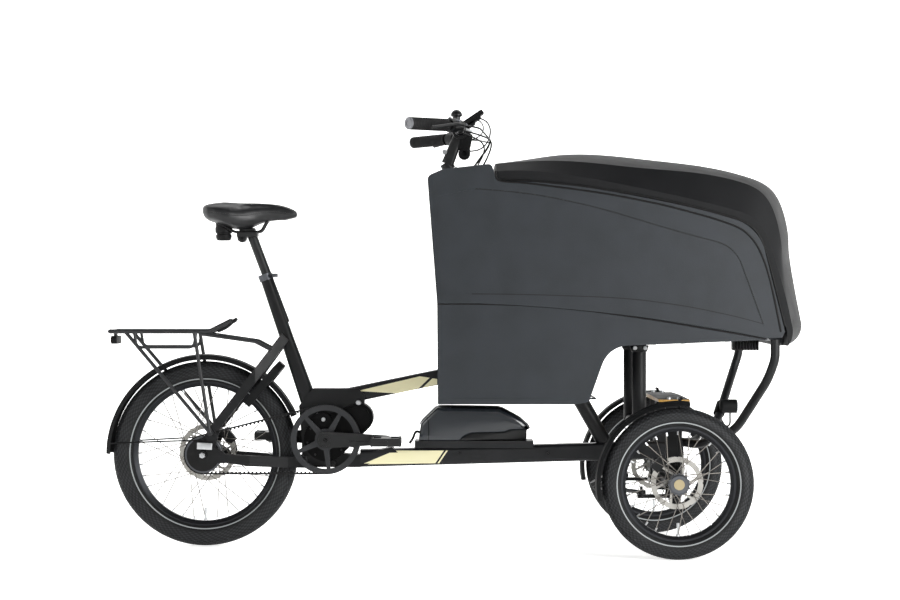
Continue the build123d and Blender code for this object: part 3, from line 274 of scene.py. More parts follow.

# ---- main tube and upper tube ----
# The same coated tubes, their coat a little lighter than the frame's as a painted highlight, with a
# cream vinyl panel on each side, long and slanted at its back end and cut by dark bars at the end
# that meets the box. Thin film, a little glossier than the coat.


def film_panel(name, panels):
    """Powder coat with cream film panels, each a convex outline of (x, z) points taken clockwise."""
    material, tree, shader, place = surface(name, "#0b0c0d", 0.4, specular=0.26)
    broad = grain(tree, shader, place, 1.6, 0.06, (0.36, 0.48))
    # The coat's two shades are lighter than the frame's powder coat: a painted highlight.
    lit_coat = mottle(tree, shader, broad, "#151618", "#1b1c1e")
    covered = 0.0
    for corners in panels:
        inside = 1.0
        for (x0, z0), (x1, z1) in zip(corners, corners[1:] + corners[:1]):
            normal = Vector((z1 - z0, 0, x0 - x1)).normalized()
            reach = add(tree, "VectorMath", {"operation": "DOT_PRODUCT", 1: normal}, {0: place})
            side = calc(tree, "GREATER_THAN", reach.outputs["Value"], normal.x * x0 + normal.z * z0)
            inside = calc(tree, "MULTIPLY", inside, side)
        covered = calc(tree, "MAXIMUM", covered, inside)
    film = mix(tree, broad, "#e2dcb2", "#e8e2bc")
    tree.links.new(mix(tree, covered, lit_coat, film), shader.inputs["Base Color"])
    return material


dress(film_panel("coated_main_tube_with_cream_film", [
    [(-0.2505, 0.229), (-0.1585, 0.2675), (-0.022, 0.2675), (-0.046, 0.232)],
    [(-0.04, 0.232), (-0.016, 0.2675), (-0.011, 0.2675), (-0.035, 0.232)],
]), "main_tube")
dress(film_panel("coated_upper_tube_with_cream_film", [
    [(-0.264, 0.433), (-0.089, 0.474), (-0.062, 0.47), (-0.095, 0.438), (-0.145, 0.426)],
    [(-0.084, 0.4395), (-0.054, 0.4685), (-0.041, 0.4665), (-0.041, 0.451)],
]), "upper_tube")

# ---- rear rack ----
# Welded round tube in a satin dark grey coat, with a sprung clamp lever at its front end.
grey_coat = finish("satin_grey_powder_coat", "#1c1d1f", 0.38, 1.6, 0.05, (0.36, 0.5),
                   shades=("#191a1c", "#202123"), metallic=0.1)
dress(grey_coat, "rear_rack")


def applied(obj):
    """A mesh of the object as its modifiers or its bevel leave it."""
    return bpy.data.meshes.new_from_object(obj.evaluated_get(bpy.context.evaluated_depsgraph_get()))


def hose(name, points, radius, material, body="frame"):
    """A round tube along one smooth curve through space, as a mesh that rides on a body."""
    data = bpy.data.curves.new(name, "CURVE")
    data.dimensions = "3D"
    data.bevel_depth = radius
    data.bevel_resolution = 3
    data.resolution_u = 8
    data.use_fill_caps = True
    spline = data.splines.new("NURBS")
    spline.points.add(len(points) - 1)
    for control, point in zip(spline.points, points):
        control.co = (*point, 1.0)
    spline.order_u = 3
    spline.use_endpoint_u = True
    curve = new_object(name + "_curve", data)
    bpy.context.view_layer.update()
    mesh = applied(curve)
    bpy.data.objects.remove(curve)
    mesh.name = name
    coat(mesh, material)
    for face in mesh.polygons:
        face.use_smooth = True
    obj = new_object(name, mesh)
    if body:
        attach(obj, body)
    return obj


both_sides = ((-1, "right"), (1, "left"))


def hose_pair(name, points, radius, material, body="frame"):
    """The same hose on both sides, from its points on the left."""
    for side, label in both_sides:
        hose(f"{name}_{label}", [(x, side * y, z) for x, y, z in points], radius, material, body)


hose("rack_clamp_lever", [
    (-0.65, -0.05, 0.601), (-0.632, -0.052, 0.606), (-0.612, -0.054, 0.622), (-0.596, -0.055, 0.636),
], 0.0045, powder_coat)

# ---- cargo box ----
# Two rotomoulded polyethylene halves, joined at a seam, and a lid of the same stuff. Moulded
# grain breaks the light softly.
moulded_box = finish("rotomoulded_polyethylene", "#1e2226", 0.48, 2.2, 0.28, (0.45, 0.52),
                     shades=("#1d2125", "#202429"), specular=0.38)
dress(moulded_box, "box_tub", "column_tunnel")

# The lid is of the same stuff, its colour painted darker than the box's as painted shade, and more matte.
shade_darkened_lid = finish("shade_darkened_rotomoulded_polyethylene", "#0b0d0f", 0.52, 2.2, 0.28, (0.52, 0.6),
                     shades=("#090a0c", "#0c0d0f"), specular=0.2)
dress(shade_darkened_lid, "lid")

# The upper shell has a panel pressed into each side. The shade in its creased edge is painted into the
# shell's colour as a fine dark line.


def crease(tree, place, along, points, half):
    """A mask for a fine line through points (along, across) on a side wall; along is X or Z."""
    across = "Z" if along == "X" else "X"
    axes = add(tree, "SeparateXYZ", {}, {"Vector": place})
    low, high = points[0][0], points[-1][0]
    bottom, top = min(b for a, b in points) - 0.001, max(b for a, b in points) + 0.001
    travel = remap(tree, axes.outputs[along], low, high)
    curve = add(tree, "FloatCurve", {}, {"Value": travel})
    line = curve.mapping.curves[0]
    for number, (a, b) in enumerate(points):
        spot = ((a - low) / (high - low), (b - bottom) / (top - bottom))
        if number in (0, len(points) - 1):
            line.points[-1 if number else 0].location = spot
        else:
            line.points.new(*spot)
    curve.mapping.update()
    middle = remap(tree, curve.outputs["Value"], 0.0, 1.0, bottom, top)
    near = calc(tree, "COMPARE", axes.outputs[across], middle, half)
    inside = calc(tree, "COMPARE", travel, 0.5, 0.4995)
    return calc(tree, "MULTIPLY", near, inside)


crease_shaded_shell, tree, shader, place = surface("rotomoulded_polyethylene_with_painted_crease_shade", "#1e2226", 0.48,
                                             specular=0.38)
plain = mottle(tree, shader, grain(tree, shader, place, 2.2, 0.28, (0.45, 0.52)), "#1d2125", "#202429")
painted_crease_shade = 0.0
for along, points, half in (
    ("X", [(0.061, 0.98), (0.148, 0.973), (0.234, 0.962), (0.312, 0.9465), (0.391, 0.928), (0.497, 0.897),
           (0.602, 0.866), (0.7, 0.84)], 0.0013),
    ("X", [(0.7, 0.84), (0.722, 0.8305), (0.742, 0.815)], 0.0016),
    ("Z", [(0.624, 0.82), (0.7, 0.7924), (0.775, 0.765), (0.797, 0.755), (0.815, 0.742)], 0.0012),
    ("X", [(0.052, 0.703), (0.18, 0.7017), (0.31, 0.6979), (0.44, 0.692), (0.57, 0.6776), (0.7, 0.654),
           (0.82, 0.624)], 0.0013),
):
    painted_crease_shade = calc(tree, "MAXIMUM", painted_crease_shade, crease(tree, place, along, points, half))
# The crease lines are painted shade, near-black over the grain.
tree.links.new(mix(tree, painted_crease_shade, plain, "#060708"), shader.inputs["Base Color"])
dress(crease_shaded_shell, "box_shell")

# A black rubber seal with two lips and an inner bulb, which shuts out light and rain, runs round
# the lid's joint on each side, and a single bead closes the joint between tub and shell.
seal_rubber = finish("extruded_seal_rubber", "#060607", 0.6, 1.0, 0.05, (0.5, 0.66), specular=0.25)
# The lower lip is partly a real seal lip and partly painted shade: a black rubber line laid where the lid's
# overhang casts its shadow.
hose_pair("lid_seal_lower_lip_and_overhang_shade", [(x, 0.3548, z) for x, z in (
    (0.1145, 1.026), (0.115, 1.013), (0.12, 1.004), (0.1347, 0.9985), (0.1939, 0.9955), (0.2564, 0.9875),
    (0.3502, 0.9753), (0.4437, 0.9605), (0.5484, 0.9394), (0.6071, 0.9244), (0.6796, 0.9049),
    (0.7465, 0.8828), (0.78, 0.862), (0.8079, 0.8259), (0.83, 0.77), (0.8469, 0.7031), (0.8664, 0.6029),
)], 0.0027, seal_rubber)
hose_pair("shell_joint", [(x, 0.3508, z) for x, z in (
    (-0.0385, 0.6765), (0.02, 0.6765), (0.074, 0.6763), (0.17, 0.674), (0.264, 0.668), (0.358, 0.659),
    (0.452, 0.6465), (0.547, 0.6325), (0.642, 0.6162), (0.736, 0.601), (0.8, 0.5895), (0.829, 0.5845),
)], 0.0021, seal_rubber)
lip = [
    (0.21, 0.999), (0.2564, 0.9948), (0.3188, 0.9887), (0.3813, 0.981), (0.4751, 0.966), (0.5484, 0.9512),
    (0.635, 0.9322), (0.7186, 0.9096), (0.7631, 0.896), (0.798, 0.874), (0.82, 0.838), (0.841, 0.764),
    (0.86, 0.686), (0.8775, 0.617),
]
hose_pair("lid_seal_upper_lip", [(x, 0.354, z) for x, z in lip], 0.0016, seal_rubber)
bulb = [(0.125, 1.002), (0.165, 1.001)] + lip
hose_pair("lid_seal_bulb", [(x, 0.3462, z + 0.0024) for x, z in bulb], 0.0042, seal_rubber)


def facing(base, way):
    """A place whose Z axis points along a direction."""
    return Matrix.Translation(base) @ way.to_track_quat("Z", "Y").to_matrix().to_4x4()


def cylinder(bm, place, radius, depth, sides, end_radius=None):
    """A closed cylinder or cone about a place's Z axis."""
    return bmesh.ops.create_cone(bm, cap_ends=True, segments=sides, radius1=radius,
                                 radius2=end_radius or radius, depth=depth, matrix=place)["verts"]


def fastener(bm, base, way, radius, height, sides=20, socket=True):
    """A round-headed screw or nut with a softened rim and a socket, standing on a surface."""
    way = Vector(way).normalized()
    made = cylinder(bm, facing(Vector(base) + way * height / 2, way), radius, height, sides)
    caps = [f for f in {f for v in made for f in v.link_faces} if len(f.verts) == sides]
    crown = max(caps, key=lambda f: f.calc_center_median().dot(way))
    bmesh.ops.inset_region(bm, faces=[crown], thickness=radius * 0.16, depth=radius * 0.14)
    if socket:
        bmesh.ops.inset_region(bm, faces=[crown], thickness=radius * 0.36)
        bmesh.ops.inset_region(bm, faces=[crown], thickness=radius * 0.03, depth=-height * 0.45)


zinc_steel = finish("zinc_plated_steel", "#c9cbcd", 0.3, 0.8, 0.01, (0.24, 0.38), metallic=1.0)
bm = bmesh.new()
for side in (-1, 1):
    for x in (0.632, 0.752, 0.862):
        fastener(bm, (x, side * 0.15, 0.574 + (x - 0.625) * 0.043), (0, 0, -1), 0.0075, 0.006)
    for x in (0.498, 0.526):
        fastener(bm, (x, side * 0.1695, 0.5565), (0, side, 0), 0.0055, 0.005)
piece("box_floor_screws", bm, zinc_steel)

# Under the box floor, each post ends in a pressed steel saddle bracket that is bolted through
# the moulding, and a ribbed rubber pad hangs under the middle of the floor ahead of it.


def at(x, y, z, lean=0.0):
    """A place, with a lean about Y."""
    return Matrix.Translation((x, y, z)) @ Matrix.Rotation(lean, 4, "Y")


def block(bm, place, size, rim, segments=3):
    """A box with all its edges rounded."""
    made = bmesh.ops.create_cube(bm, size=1, matrix=place @ Matrix.Diagonal((*size, 1)))["verts"]
    edges = list({e for v in made for e in v.link_edges})
    bmesh.ops.bevel(bm, geom=edges, affect="EDGES", offset=rim, segments=segments, profile=0.5, material=-1)


def drum(bm, place, radius, depth, axis, rim, sides, segments, end_radius=None):
    """A round block along a world axis, straight or tapered, with its two rims rounded."""
    made = cylinder(bm, place, radius, depth, sides, end_radius)
    edges = {e for v in made for e in v.link_edges}
    rims = [e for e in edges if len({round(v.co[axis], 4) for v in e.verts}) == 1]
    bmesh.ops.bevel(bm, geom=rims, affect="EDGES", offset=rim, segments=segments, profile=0.5, material=-1)


bm = bmesh.new()
for side in (-1, 1):
    drum(bm, at(0.512, side * 0.145, 0.5545), 0.0215, 0.018, 2, 0.003, 24, 2, end_radius=0.027)
piece("post_saddle_brackets", bm, powder_coat)
bm = bmesh.new()
rib_count, rib_pitch = 9, 0.0083
for number in range(rib_count):
    block(bm, at(0.788 + number * rib_pitch, 0, 0.5615), (0.0052, 0.045, 0.03), 0.0015, 2)
piece("ribbed_floor_pad", bm, seal_rubber)

# ---- wheels ----
# Anodised rims, stainless spokes laced by zinc-plated nipples to dark alloy hubs, a valve stem in
# each rim, and brake discs. Rims and hubs show a soft dark sheen, spokes fine warm lines, and the
# ground discs are the brightest metal.
anodised_black = finish("black_anodised_aluminium", "#0c0c0d", 0.35, 0.9, 0.02, (0.28, 0.42), metallic=0.5)
rim_alloy = finish("satin_anodised_rim_alloy", "#2f3033", 0.34, 0.9, 0.015, (0.3, 0.42), metallic=0.8)
hub_alloy = finish("dark_anodised_hub_alloy", "#5a5c60", 0.35, 0.9, 0.02, (0.3, 0.44), metallic=0.8)
spoke_steel = finish("stainless_spoke_wire", "#7c7873", 0.3, 1.2, 0.01, (0.22, 0.36), metallic=1.0)
ground_steel = finish("ground_stainless_steel", "#b7b5b0", 0.3, 0.7, 0.015, (0.24, 0.4), metallic=1.0)
rear_centre, front_centre = Vector((-0.689, 0, 0.258)), Vector((0.598, 0, 0.201))


def dress_rim(name, centre, rim_radius, rim_depth):
    """Rim faces are anodised; every face nearer to the hub is a spoke."""
    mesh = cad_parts[name].data
    coat(mesh, rim_alloy, spoke_steel)
    for face in mesh.polygons:
        reach = math.hypot(face.center.x - centre.x, face.center.z - centre.z)
        face.material_index = 1 if reach < rim_radius - rim_depth - 0.0015 else 0


dress_rim("rear_spoked_rim", rear_centre, 0.207, 0.019)
for side, label in both_sides:
    dress_rim(f"front_spoked_rim_{label}", front_centre, 0.156, 0.017)
dress(hub_alloy, "rear_hub", "front_hub_left", "front_hub_right", "rear_sprocket")
dress(anodised_black, "rear_axle")
dress(ground_steel, "rear_brake_disc", "front_brake_disc_left", "front_brake_disc_right")


def around(centre, radius, angle, y):
    """A point at that radius and angle about an axle."""
    return Vector((centre.x + radius * math.cos(angle), y, centre.z + radius * math.sin(angle)))


def wheel_fittings(body, centre, middle_y, inner_radius, count, disc_y, outward):
    """The spoke nipples, the valve stem and the disc's six screws of one wheel."""
    bm = bmesh.new()
    for number in range(count):
        angle = math.tau * number / count
        foot = around(centre, inner_radius, angle, middle_y + (0.002 if number % 2 else -0.002))
        fastener(bm, foot, (-math.cos(angle), 0, -math.sin(angle)), 0.0023, 0.01, sides=8, socket=False)
    for number in range(6):
        foot = around(centre, 0.0205, math.tau * (number + 0.5) / 6, disc_y)
        fastener(bm, foot, (0, outward, 0), 0.0032, 0.0025, sides=12)
    piece(f"{body}_nipples_and_screws", bm, zinc_steel, body)
    bm = bmesh.new()
    for rise, radius, height, sides in (
        (0, 0.0052, 0.006, 16), (0.005, 0.0028, 0.026, 16), (0.022, 0.0039, 0.013, 12),
    ):
        foot = Vector((centre.x, middle_y, centre.z - inner_radius + rise))
        fastener(bm, foot, (0, 0, 1), radius, height, sides=sides, socket=False)
    piece(f"{body}_valve_stem", bm, zinc_steel, body)


wheel_fittings("rear_wheel", rear_centre, 0.0, 0.1885, 36, 0.048, 1)
for side, label in both_sides:
    wheel_fittings(f"front_wheel_{label}", front_centre, side * 0.33, 0.1395, 28, side * 0.304, -side)

# Each stub axle ends in a yellow passivated cap inside a castellated lock ring, and the rear axle
# in dome nuts, with a pressed steel plate clipped on the shift unit. The cap is a dull gold.
yellow_steel = finish("yellow_passivated_steel", "#a99c7c", 0.4, 0.8, 0.01, (0.34, 0.46), metallic=0.75)
for side, label in both_sides:
    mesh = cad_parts[f"knuckle_{label}"].data
    mesh.materials.append(yellow_steel)
    for face in mesh.polygons:
        if side * face.center.y > 0.3603:
            face.material_index = 1
    bm = bmesh.new()
    ring_radius, notches = 0.027, 16
    ring_foot = front_centre + Vector((0, side * 0.3535, 0))
    fastener(bm, ring_foot, (0, side, 0), ring_radius, 0.0058, sides=48, socket=False)
    for number in range(notches):
        spot = around(front_centre, ring_radius, math.tau * number / notches, side * 0.3539)
        fastener(bm, spot, (0, side, 0), 0.0027, 0.005, sides=10, socket=False)
    piece(f"hub_lock_ring_{label}", bm, hub_alloy, f"front_wheel_{label}")
    bm = bmesh.new()
    seal_foot = front_centre + Vector((0, side * 0.3592, 0))
    fastener(bm, seal_foot, (0, side, 0), 0.0195, 0.001, sides=40, socket=False)
    piece(f"hub_dust_seal_{label}", bm, seal_rubber, f"front_wheel_{label}")
bm = bmesh.new()
for side in (-1, 1):
    for y, radius, height, sides in ((0.0838, 0.0085, 0.004, 6), (0.0865, 0.0055, 0.003, 20)):
        foot = rear_centre + Vector((0, side * y, 0))
        fastener(bm, foot, (0, side, 0), radius, height, sides=sides, socket=False)
piece("rear_axle_dome_nuts", bm, zinc_steel)
bm = bmesh.new()
block(bm, at(-0.6825, -0.0855, 0.2835, 0.05), (0.042, 0.005, 0.019), 0.0018)
piece("shift_unit_clip", bm, zinc_steel)

# ---- tyres ----
# Moulded rubber, with small raised tread blocks in slanted rows and a pale reflective ring on
# each side wall.


def tyre_rubber(name, centre, ring):
    """Black rubber with a reflective ring, fine mould lines and block tops on the shoulder painted paler, a
    painted highlight.
    """
    mould_pitch, lane_pitch = 0.006, 0.0085
    material, tree, shader, place = surface(name, "#0b0c0d", 0.55, specular=0.3)
    grain(tree, shader, place, 1.1, 0.08, (0.55, 0.72))
    centred = add(tree, "Mapping", {"Location": (-centre.x, 0, -centre.z), "Scale": (1, 0, 1)},
                  {"Vector": place}).outputs["Vector"]
    reach = add(tree, "VectorMath", {"operation": "LENGTH"}, {0: centred}).outputs["Value"]
    mould_wave = calc(tree, "SINE", calc(tree, "MULTIPLY", reach, math.tau / mould_pitch))
    wall = mix(tree, remap(tree, mould_wave, 0.7, 1.0, 0.0, 0.25), "#0b0c0d", "#151618")
    axes = add(tree, "SeparateXYZ", {}, {"Vector": centred}).outputs
    turn = calc(tree, "ARCTAN2", axes["Z"], axes["X"])
    rows = calc(tree, "SINE", calc(tree, "MULTIPLY_ADD", turn, 84.0, calc(tree, "MULTIPLY", reach, 160.0)))
    lanes = calc(tree, "SINE", calc(tree, "MULTIPLY", reach, math.tau / lane_pitch))
    blocks = remap(tree, calc(tree, "MULTIPLY", rows, lanes), -0.1, 0.25)
    # Paler block tops on the shoulder are a painted highlight.
    shoulder = remap(tree, reach, ring + 0.006, ring + 0.012, 0.0, 0.6)
    block_highlight = mix(tree, calc(tree, "MULTIPLY", blocks, shoulder), wall, "#2a2c2f")
    stripe = calc(tree, "COMPARE", reach, ring, 0.0015)
    tree.links.new(mix(tree, stripe, block_highlight, "#8f9394"), shader.inputs["Base Color"])
    return material


def treaded_tyre(node, body, rubber, centre, steps):
    """A ring of round section whose crown carries raised blocks, in place of the plain CAD ring."""
    low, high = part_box(node)
    outer, half = (high.z - low.z) / 2, (high.y - low.y) / 2
    tread_height, tread_gap, slant = 0.0012, 0.0009, 0.55
    section = outer - tread_height - half
    middle_y = (low.y + high.y) / 2
    bm = bmesh.new()
    bmesh.ops.create_vert(bm, co=(0, 0, section + half))
    full_turn(bm, (1, 0, 0), 36, centre=(0, 0, section))
    full_turn(bm, (0, 1, 0), steps)
    for vert in bm.verts:
        turn = slant * math.tau / steps * abs(vert.co.y) / half
        vert.co = Matrix.Rotation(turn, 3, "Y") @ vert.co
    reach = {f: f.calc_center_median().xz.length for f in bm.faces}
    crown = [f for f in bm.faces if reach[f] > section + half * 0.5]
    bmesh.ops.inset_individual(bm, faces=crown, thickness=tread_gap, depth=tread_height)
    bmesh.ops.translate(bm, verts=bm.verts[:], vec=(centre.x, middle_y, centre.z))
    tyre = piece(f"treaded_{node}", bm, rubber, body, angle=60)
    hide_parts(node)


rear_rubber = tyre_rubber("rear_tyre_rubber", rear_centre, 0.209)
front_rubber = tyre_rubber("front_tyre_rubber", front_centre, 0.163)
treaded_tyre("rear_tyre", "rear_wheel", rear_rubber, rear_centre, 132)
for side, label in both_sides:
    treaded_tyre(f"front_tyre_{label}", f"front_wheel_{label}", front_rubber, front_centre, 108)

# ---- drive ----
# A cast and painted motor housing with steel bolts, forged cranks, and a belt of moulded
# polyurethane whose teeth stand on its inner side. The casting is deep black and grainy, the
# forgings have satin edges, the belt ring is a lighter grey, and the belt is matte.
cast_paint = finish("painted_aluminium_casting", "#050506", 0.5, 1.0, 0.12, (0.46, 0.6), specular=0.12)
forged_black = finish("forged_black_alloy", "#0d0e0f", 0.36, 1.4, 0.03, (0.36, 0.5), specular=0.4)
forged_grey = finish("shot_peened_grey_alloy", "#2e2f31", 0.4, 1.0, 0.05, (0.4, 0.54), metallic=0.5)
belt_polymer = finish("moulded_belt_polyurethane", "#0b0b0c", 0.5, 1.0, 0.06, (0.45, 0.6), specular=0.26)
dress(cast_paint, "motor")
dress(forged_grey, "belt_ring")
dress(forged_black, "crankset", "pedal_left", "pedal_right", "stem", "handlebar", "brake_levers")
dress(hub_alloy, "seat_clamp")
dress(belt_polymer, "drive_belt")

bm = bmesh.new()
for side in (-1, 1):
    fastener(bm, (-0.26, side * 0.03, 0.401), (0, side, 0), 0.0072, 0.007)
    fastener(bm, (-0.357, side * 0.043, 0.355), (0, side, 0), 0.0058, 0.006)
piece("motor_bolts", bm, zinc_steel)
crank_axle, crank_length = Vector((-0.35, 0, 0.3)), 0.17
bm = bmesh.new()
for angle in range(10, 370, 45):
    fastener(bm, around(crank_axle, 0.052, math.radians(angle), -0.043), (0, -1, 0), 0.0032, 0.0025, sides=12)
for side in (-1, 1):
    fastener(bm, (-0.33, side * 0.03, 0.2335), (0, side, 0), 0.0075, 0.005)
piece("gear_cover_screws", bm, forged_black)
bm = bmesh.new()
for side in (-1, 1):
    fastener(bm, crank_axle + Vector((0, side * 0.0795, 0)), (0, side, 0), 0.0066, 0.0035, sides=24)
    pedal_eye = crank_axle + Vector((-side * crank_length, side * 0.0815, 0))
    fastener(bm, pedal_eye, (0, side, 0), 0.0085, 0.004, sides=8, socket=False)
piece("crank_bolts", bm, anodised_black, "crank")

belt_y, belt_wide, teeth = -0.053, 0.0106, 30
sprocket_radius, ring_radius, inset = 0.055, 0.097, 0.0056
span = crank_axle - rear_centre
swing = math.asin((ring_radius - sprocket_radius) / span.length)
bm = bmesh.new()
for turn in (-1, 1):
    angle = math.atan2(span.z, span.x) + turn * (math.pi / 2 + swing)
    way = Vector((math.cos(angle), 0, math.sin(angle)))
    first = around(rear_centre, sprocket_radius - inset, angle, belt_y)
    last = around(crank_axle, ring_radius - inset, angle, belt_y)
    along = (last - first).normalized()
    square = Matrix((along, way.cross(along), way)).transposed().to_4x4()
    for number in range(1, teeth):
        place = Matrix.Translation(first.lerp(last, number / teeth)) @ square
        tooth_size = Matrix.Diagonal((0.0058, belt_wide, 0.0042, 1))
        tooth = bmesh.ops.create_cube(bm, size=1, matrix=place @ tooth_size)
        under = [v for v in tooth["verts"] if (v.co - place.translation).dot(way) < 0]
        bmesh.ops.scale(bm, verts=under, vec=(0.6, 1, 1), space=place.inverted())
piece("belt_teeth", bm, belt_polymer)

# Each pedal is an alloy cage with rubber tread pads between its plates.
for side, label in both_sides:
    bm = bmesh.new()
    for row in range(-2, 3):
        for column in (-0.0385, 0.0385):
            place = at(crank_axle.x - side * crank_length + column, side * 0.137 + row * 0.017, crank_axle.z)
            block(bm, place, (0.006, 0.01, 0.0245), 0.0012, 2)
    piece(f"pedal_tread_{label}", bm, seal_rubber, f"pedal_{label}")

# ---- battery ----
# A lockable pack with a gloss ABS case whose sides round over and draw in towards both ends. A
# black spine runs over its top, and its lower front part is a drawn-in black tub. It locks onto
# the tray on the main tube. The case mirrors the studio, and the trim is duller.
battery_case = finish("gloss_abs_case", "#1b2026", 0.2, 3.0, 0.01, (0.18, 0.28), coat_weight=0.4)


def plan(x):
    """Half the battery's width at x, narrower towards its nose and its tail."""
    nose, tail = max(0.0, (x - 0.1) / 0.117), max(0.0, (-0.045 - x) / 0.048)
    return 0.0498 - 0.02 * nose ** 2 - 0.006 * tail ** 2


def side_loop(bm, corners, rows):
    """A closed case from an outline in X and Z, its sides rounding over in rows of (inset, rise)."""
    face = bm.faces.new([bm.verts.new((x, 0, z)) for x, z in corners])
    for way in (-1, 1):
        cap = bmesh.ops.extrude_face_region(bm, geom=[face])["geom"]
        verts = [v for v in cap if isinstance(v, bmesh.types.BMVert)]
        for v in verts:
            v.co.y = way * 0.8 * plan(v.co.x)
        crown = [f for f in cap if isinstance(f, bmesh.types.BMFace)]
        for inset, share in rows:
            bmesh.ops.inset_region(bm, faces=crown, thickness=inset)
            for v in crown[0].verts:
                v.co.y = way * share * plan(v.co.x)
    bm.faces.remove(face)
    bmesh.ops.remove_doubles(bm, verts=bm.verts[:], dist=0.00005)
    outward(bm)


bm = bmesh.new()
side_loop(bm, [
    (-0.0925, 0.296), (-0.0905, 0.315), (-0.0868, 0.34), (-0.085, 0.345), (-0.082, 0.3488), (-0.067, 0.3638),
    (-0.056, 0.3746), (-0.0455, 0.3848), (-0.0413, 0.3878), (-0.0343, 0.3892), (0.0, 0.3888), (0.04, 0.3884),
    (0.08, 0.3878), (0.1265, 0.3869), (0.132, 0.3862), (0.14, 0.3834), (0.156, 0.375), (0.174, 0.3654),
    (0.19, 0.356), (0.202, 0.3462), (0.212, 0.3368), (0.2165, 0.3285), (0.212, 0.3256), (0.19, 0.3256),
    (0.162, 0.3252), (0.148, 0.3192), (0.12, 0.3186), (0.088, 0.318), (0.056, 0.317), (0.042, 0.313),
    (0.031, 0.306), (0.0215, 0.296), (-0.02, 0.296), (-0.06, 0.296),
], [(0.0008, 0.88), (0.0014, 0.93), (0.0022, 0.965), (0.0034, 0.99), (0.004, 1.0)])
case = piece("battery_case", bm, battery_case, angle=60)
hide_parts("battery")
trim_polymer = finish("black_abs_trim", "#08090a", 0.34, 1.2, 0.03, (0.3, 0.42), specular=0.35)
bm = bmesh.new()
side_loop(bm, [
    (0.02, 0.2956), (0.031, 0.3075), (0.056, 0.319), (0.148, 0.3212), (0.162, 0.327), (0.211, 0.327),
    (0.2088, 0.323), (0.2085, 0.2956),
], [(0.001, 0.84), (0.0016, 0.865), (0.002, 0.88)])
piece("battery_lower_tub", bm, trim_polymer)
bm = bmesh.new()
spine = [
    (-0.0868, 0.34), (-0.0815, 0.3493), (-0.067, 0.3638), (-0.0455, 0.3848), (-0.0343, 0.3892),
    (0.04, 0.3884), (0.1265, 0.3869), (0.14, 0.3834), (0.174, 0.3654), (0.19, 0.356),
    (0.212, 0.3368), (0.2165, 0.3285),
]
rails = []
for across, lift in (
    (-0.74, -0.001), (-0.7, 0.0018), (-0.62, 0.003), (0.62, 0.003), (0.7, 0.0018), (0.74, -0.001),
):
    rail = []
    for x, z in spine:
        towards_end = min(1.0, max(-1.0, (x - 0.045) / 0.13))
        rail.append(bm.verts.new((x + lift * towards_end * 0.7, across * plan(x), z + lift)))
    rails.append(rail)
for one, two in zip(rails, rails[1:] + rails[:1]):
    for a, b, c, d in zip(one, one[1:], two[1:], two):
        bm.faces.new((a, b, c, d))
for end in (0, -1):
    bm.faces.new([rail[end] for rail in rails])
outward(bm)
piece("battery_spine", bm, trim_polymer)
hose_pair("battery_end_seam", [(x, plan(x) - drop, z) for x, z, drop in (
    (-0.064, 0.296, 0.0), (-0.064, 0.32, 0.0), (-0.065, 0.344, 0.0), (-0.0665, 0.356, 0.001),
    (-0.069, 0.361, 0.006),
)], 0.0009, seal_rubber)
hose("battery_lever", [
    (-0.118, -0.03, 0.288), (-0.108, -0.03, 0.3), (-0.103, -0.03, 0.318), (-0.095, -0.03, 0.322),
    (-0.086, -0.03, 0.317),
], 0.0035, seal_rubber)

# Two black anodised screw heads sit in the right side of the main tube, one below the battery and
# one ahead of it.
bm = bmesh.new()
for x in (0.022, 0.268):
    fastener(bm, (x, -0.0415, 0.2605), (0, -1, 0), 0.0042, 0.0018, sides=16)
piece("main_tube_screws", bm, anodised_black)

# ---- small mouldings ----
# Mudguards, the ring lock's case, lamp bodies and the display are injection-moulded polymer with
# a fine satin grain. The headlight has a bright clear lens with moulded rings, and the tail lamp a
# deep red ribbed one.
satin_polymer = finish("satin_moulded_polymer", "#0b0c0d", 0.6, 1.2, 0.05, (0.56, 0.68), specular=0.18)
dress(satin_polymer, "rear_mudguard", "front_mudguard_left", "front_mudguard_right", "display", "tail_lamp",
      "headlight", "ring_lock")
clear_lens, tree, shader, place = surface("clear_polycarbonate_lens", "#dfe3e6", 0.08, metallic=0.6,
                                          coat_weight=1.0)
from_lamp = add(tree, "Mapping", {"Location": (-0.802, -0.212, -0.379)}, {"Vector": place})
rings = add(tree, "TexWave", {"Scale": size_of(6), "wave_type": "RINGS", "rings_direction": "X"},
            {"Vector": from_lamp.outputs["Vector"]})
relief(tree, shader, rings.outputs["Fac"], 0.5, 0.0006)
bm = bmesh.new()
bmesh.ops.create_uvsphere(bm, u_segments=32, v_segments=16, radius=0.0182,
                          matrix=at(0.8268, 0.212, 0.379) @ Matrix.Diagonal((0.25, 1, 1, 1)))
bmesh.ops.bisect_plane(bm, geom=bm.verts[:] + bm.edges[:] + bm.faces[:], plane_co=(0.8262, 0, 0),
                       plane_no=(-1, 0, 0), clear_outer=True)
bmesh.ops.holes_fill(bm, edges=bm.edges[:])
outward(bm)
piece("headlight_lens", bm, clear_lens)
hose("headlight_lead", [
    (0.8075, 0.212, 0.36), (0.8075, 0.212, 0.343), (0.808, 0.212, 0.328), (0.8, 0.212, 0.319),
    (0.789, 0.213, 0.326), (0.78, 0.214, 0.345),
], 0.0024, seal_rubber)
red_lens, tree, shader, place = surface("red_polycarbonate_lens", "#6e0d10", 0.15, coat_weight=0.8)
ribs = add(tree, "TexWave", {"Scale": size_of(8), "bands_direction": "Y"}, {"Vector": place})
relief(tree, shader, ribs.outputs["Fac"], 0.5, 0.0005)
bm = bmesh.new()
block(bm, at(-0.9485, 0, 0.576), (0.004, 0.072, 0.014), 0.0016)
piece("tail_lamp_lens", bm, red_lens)
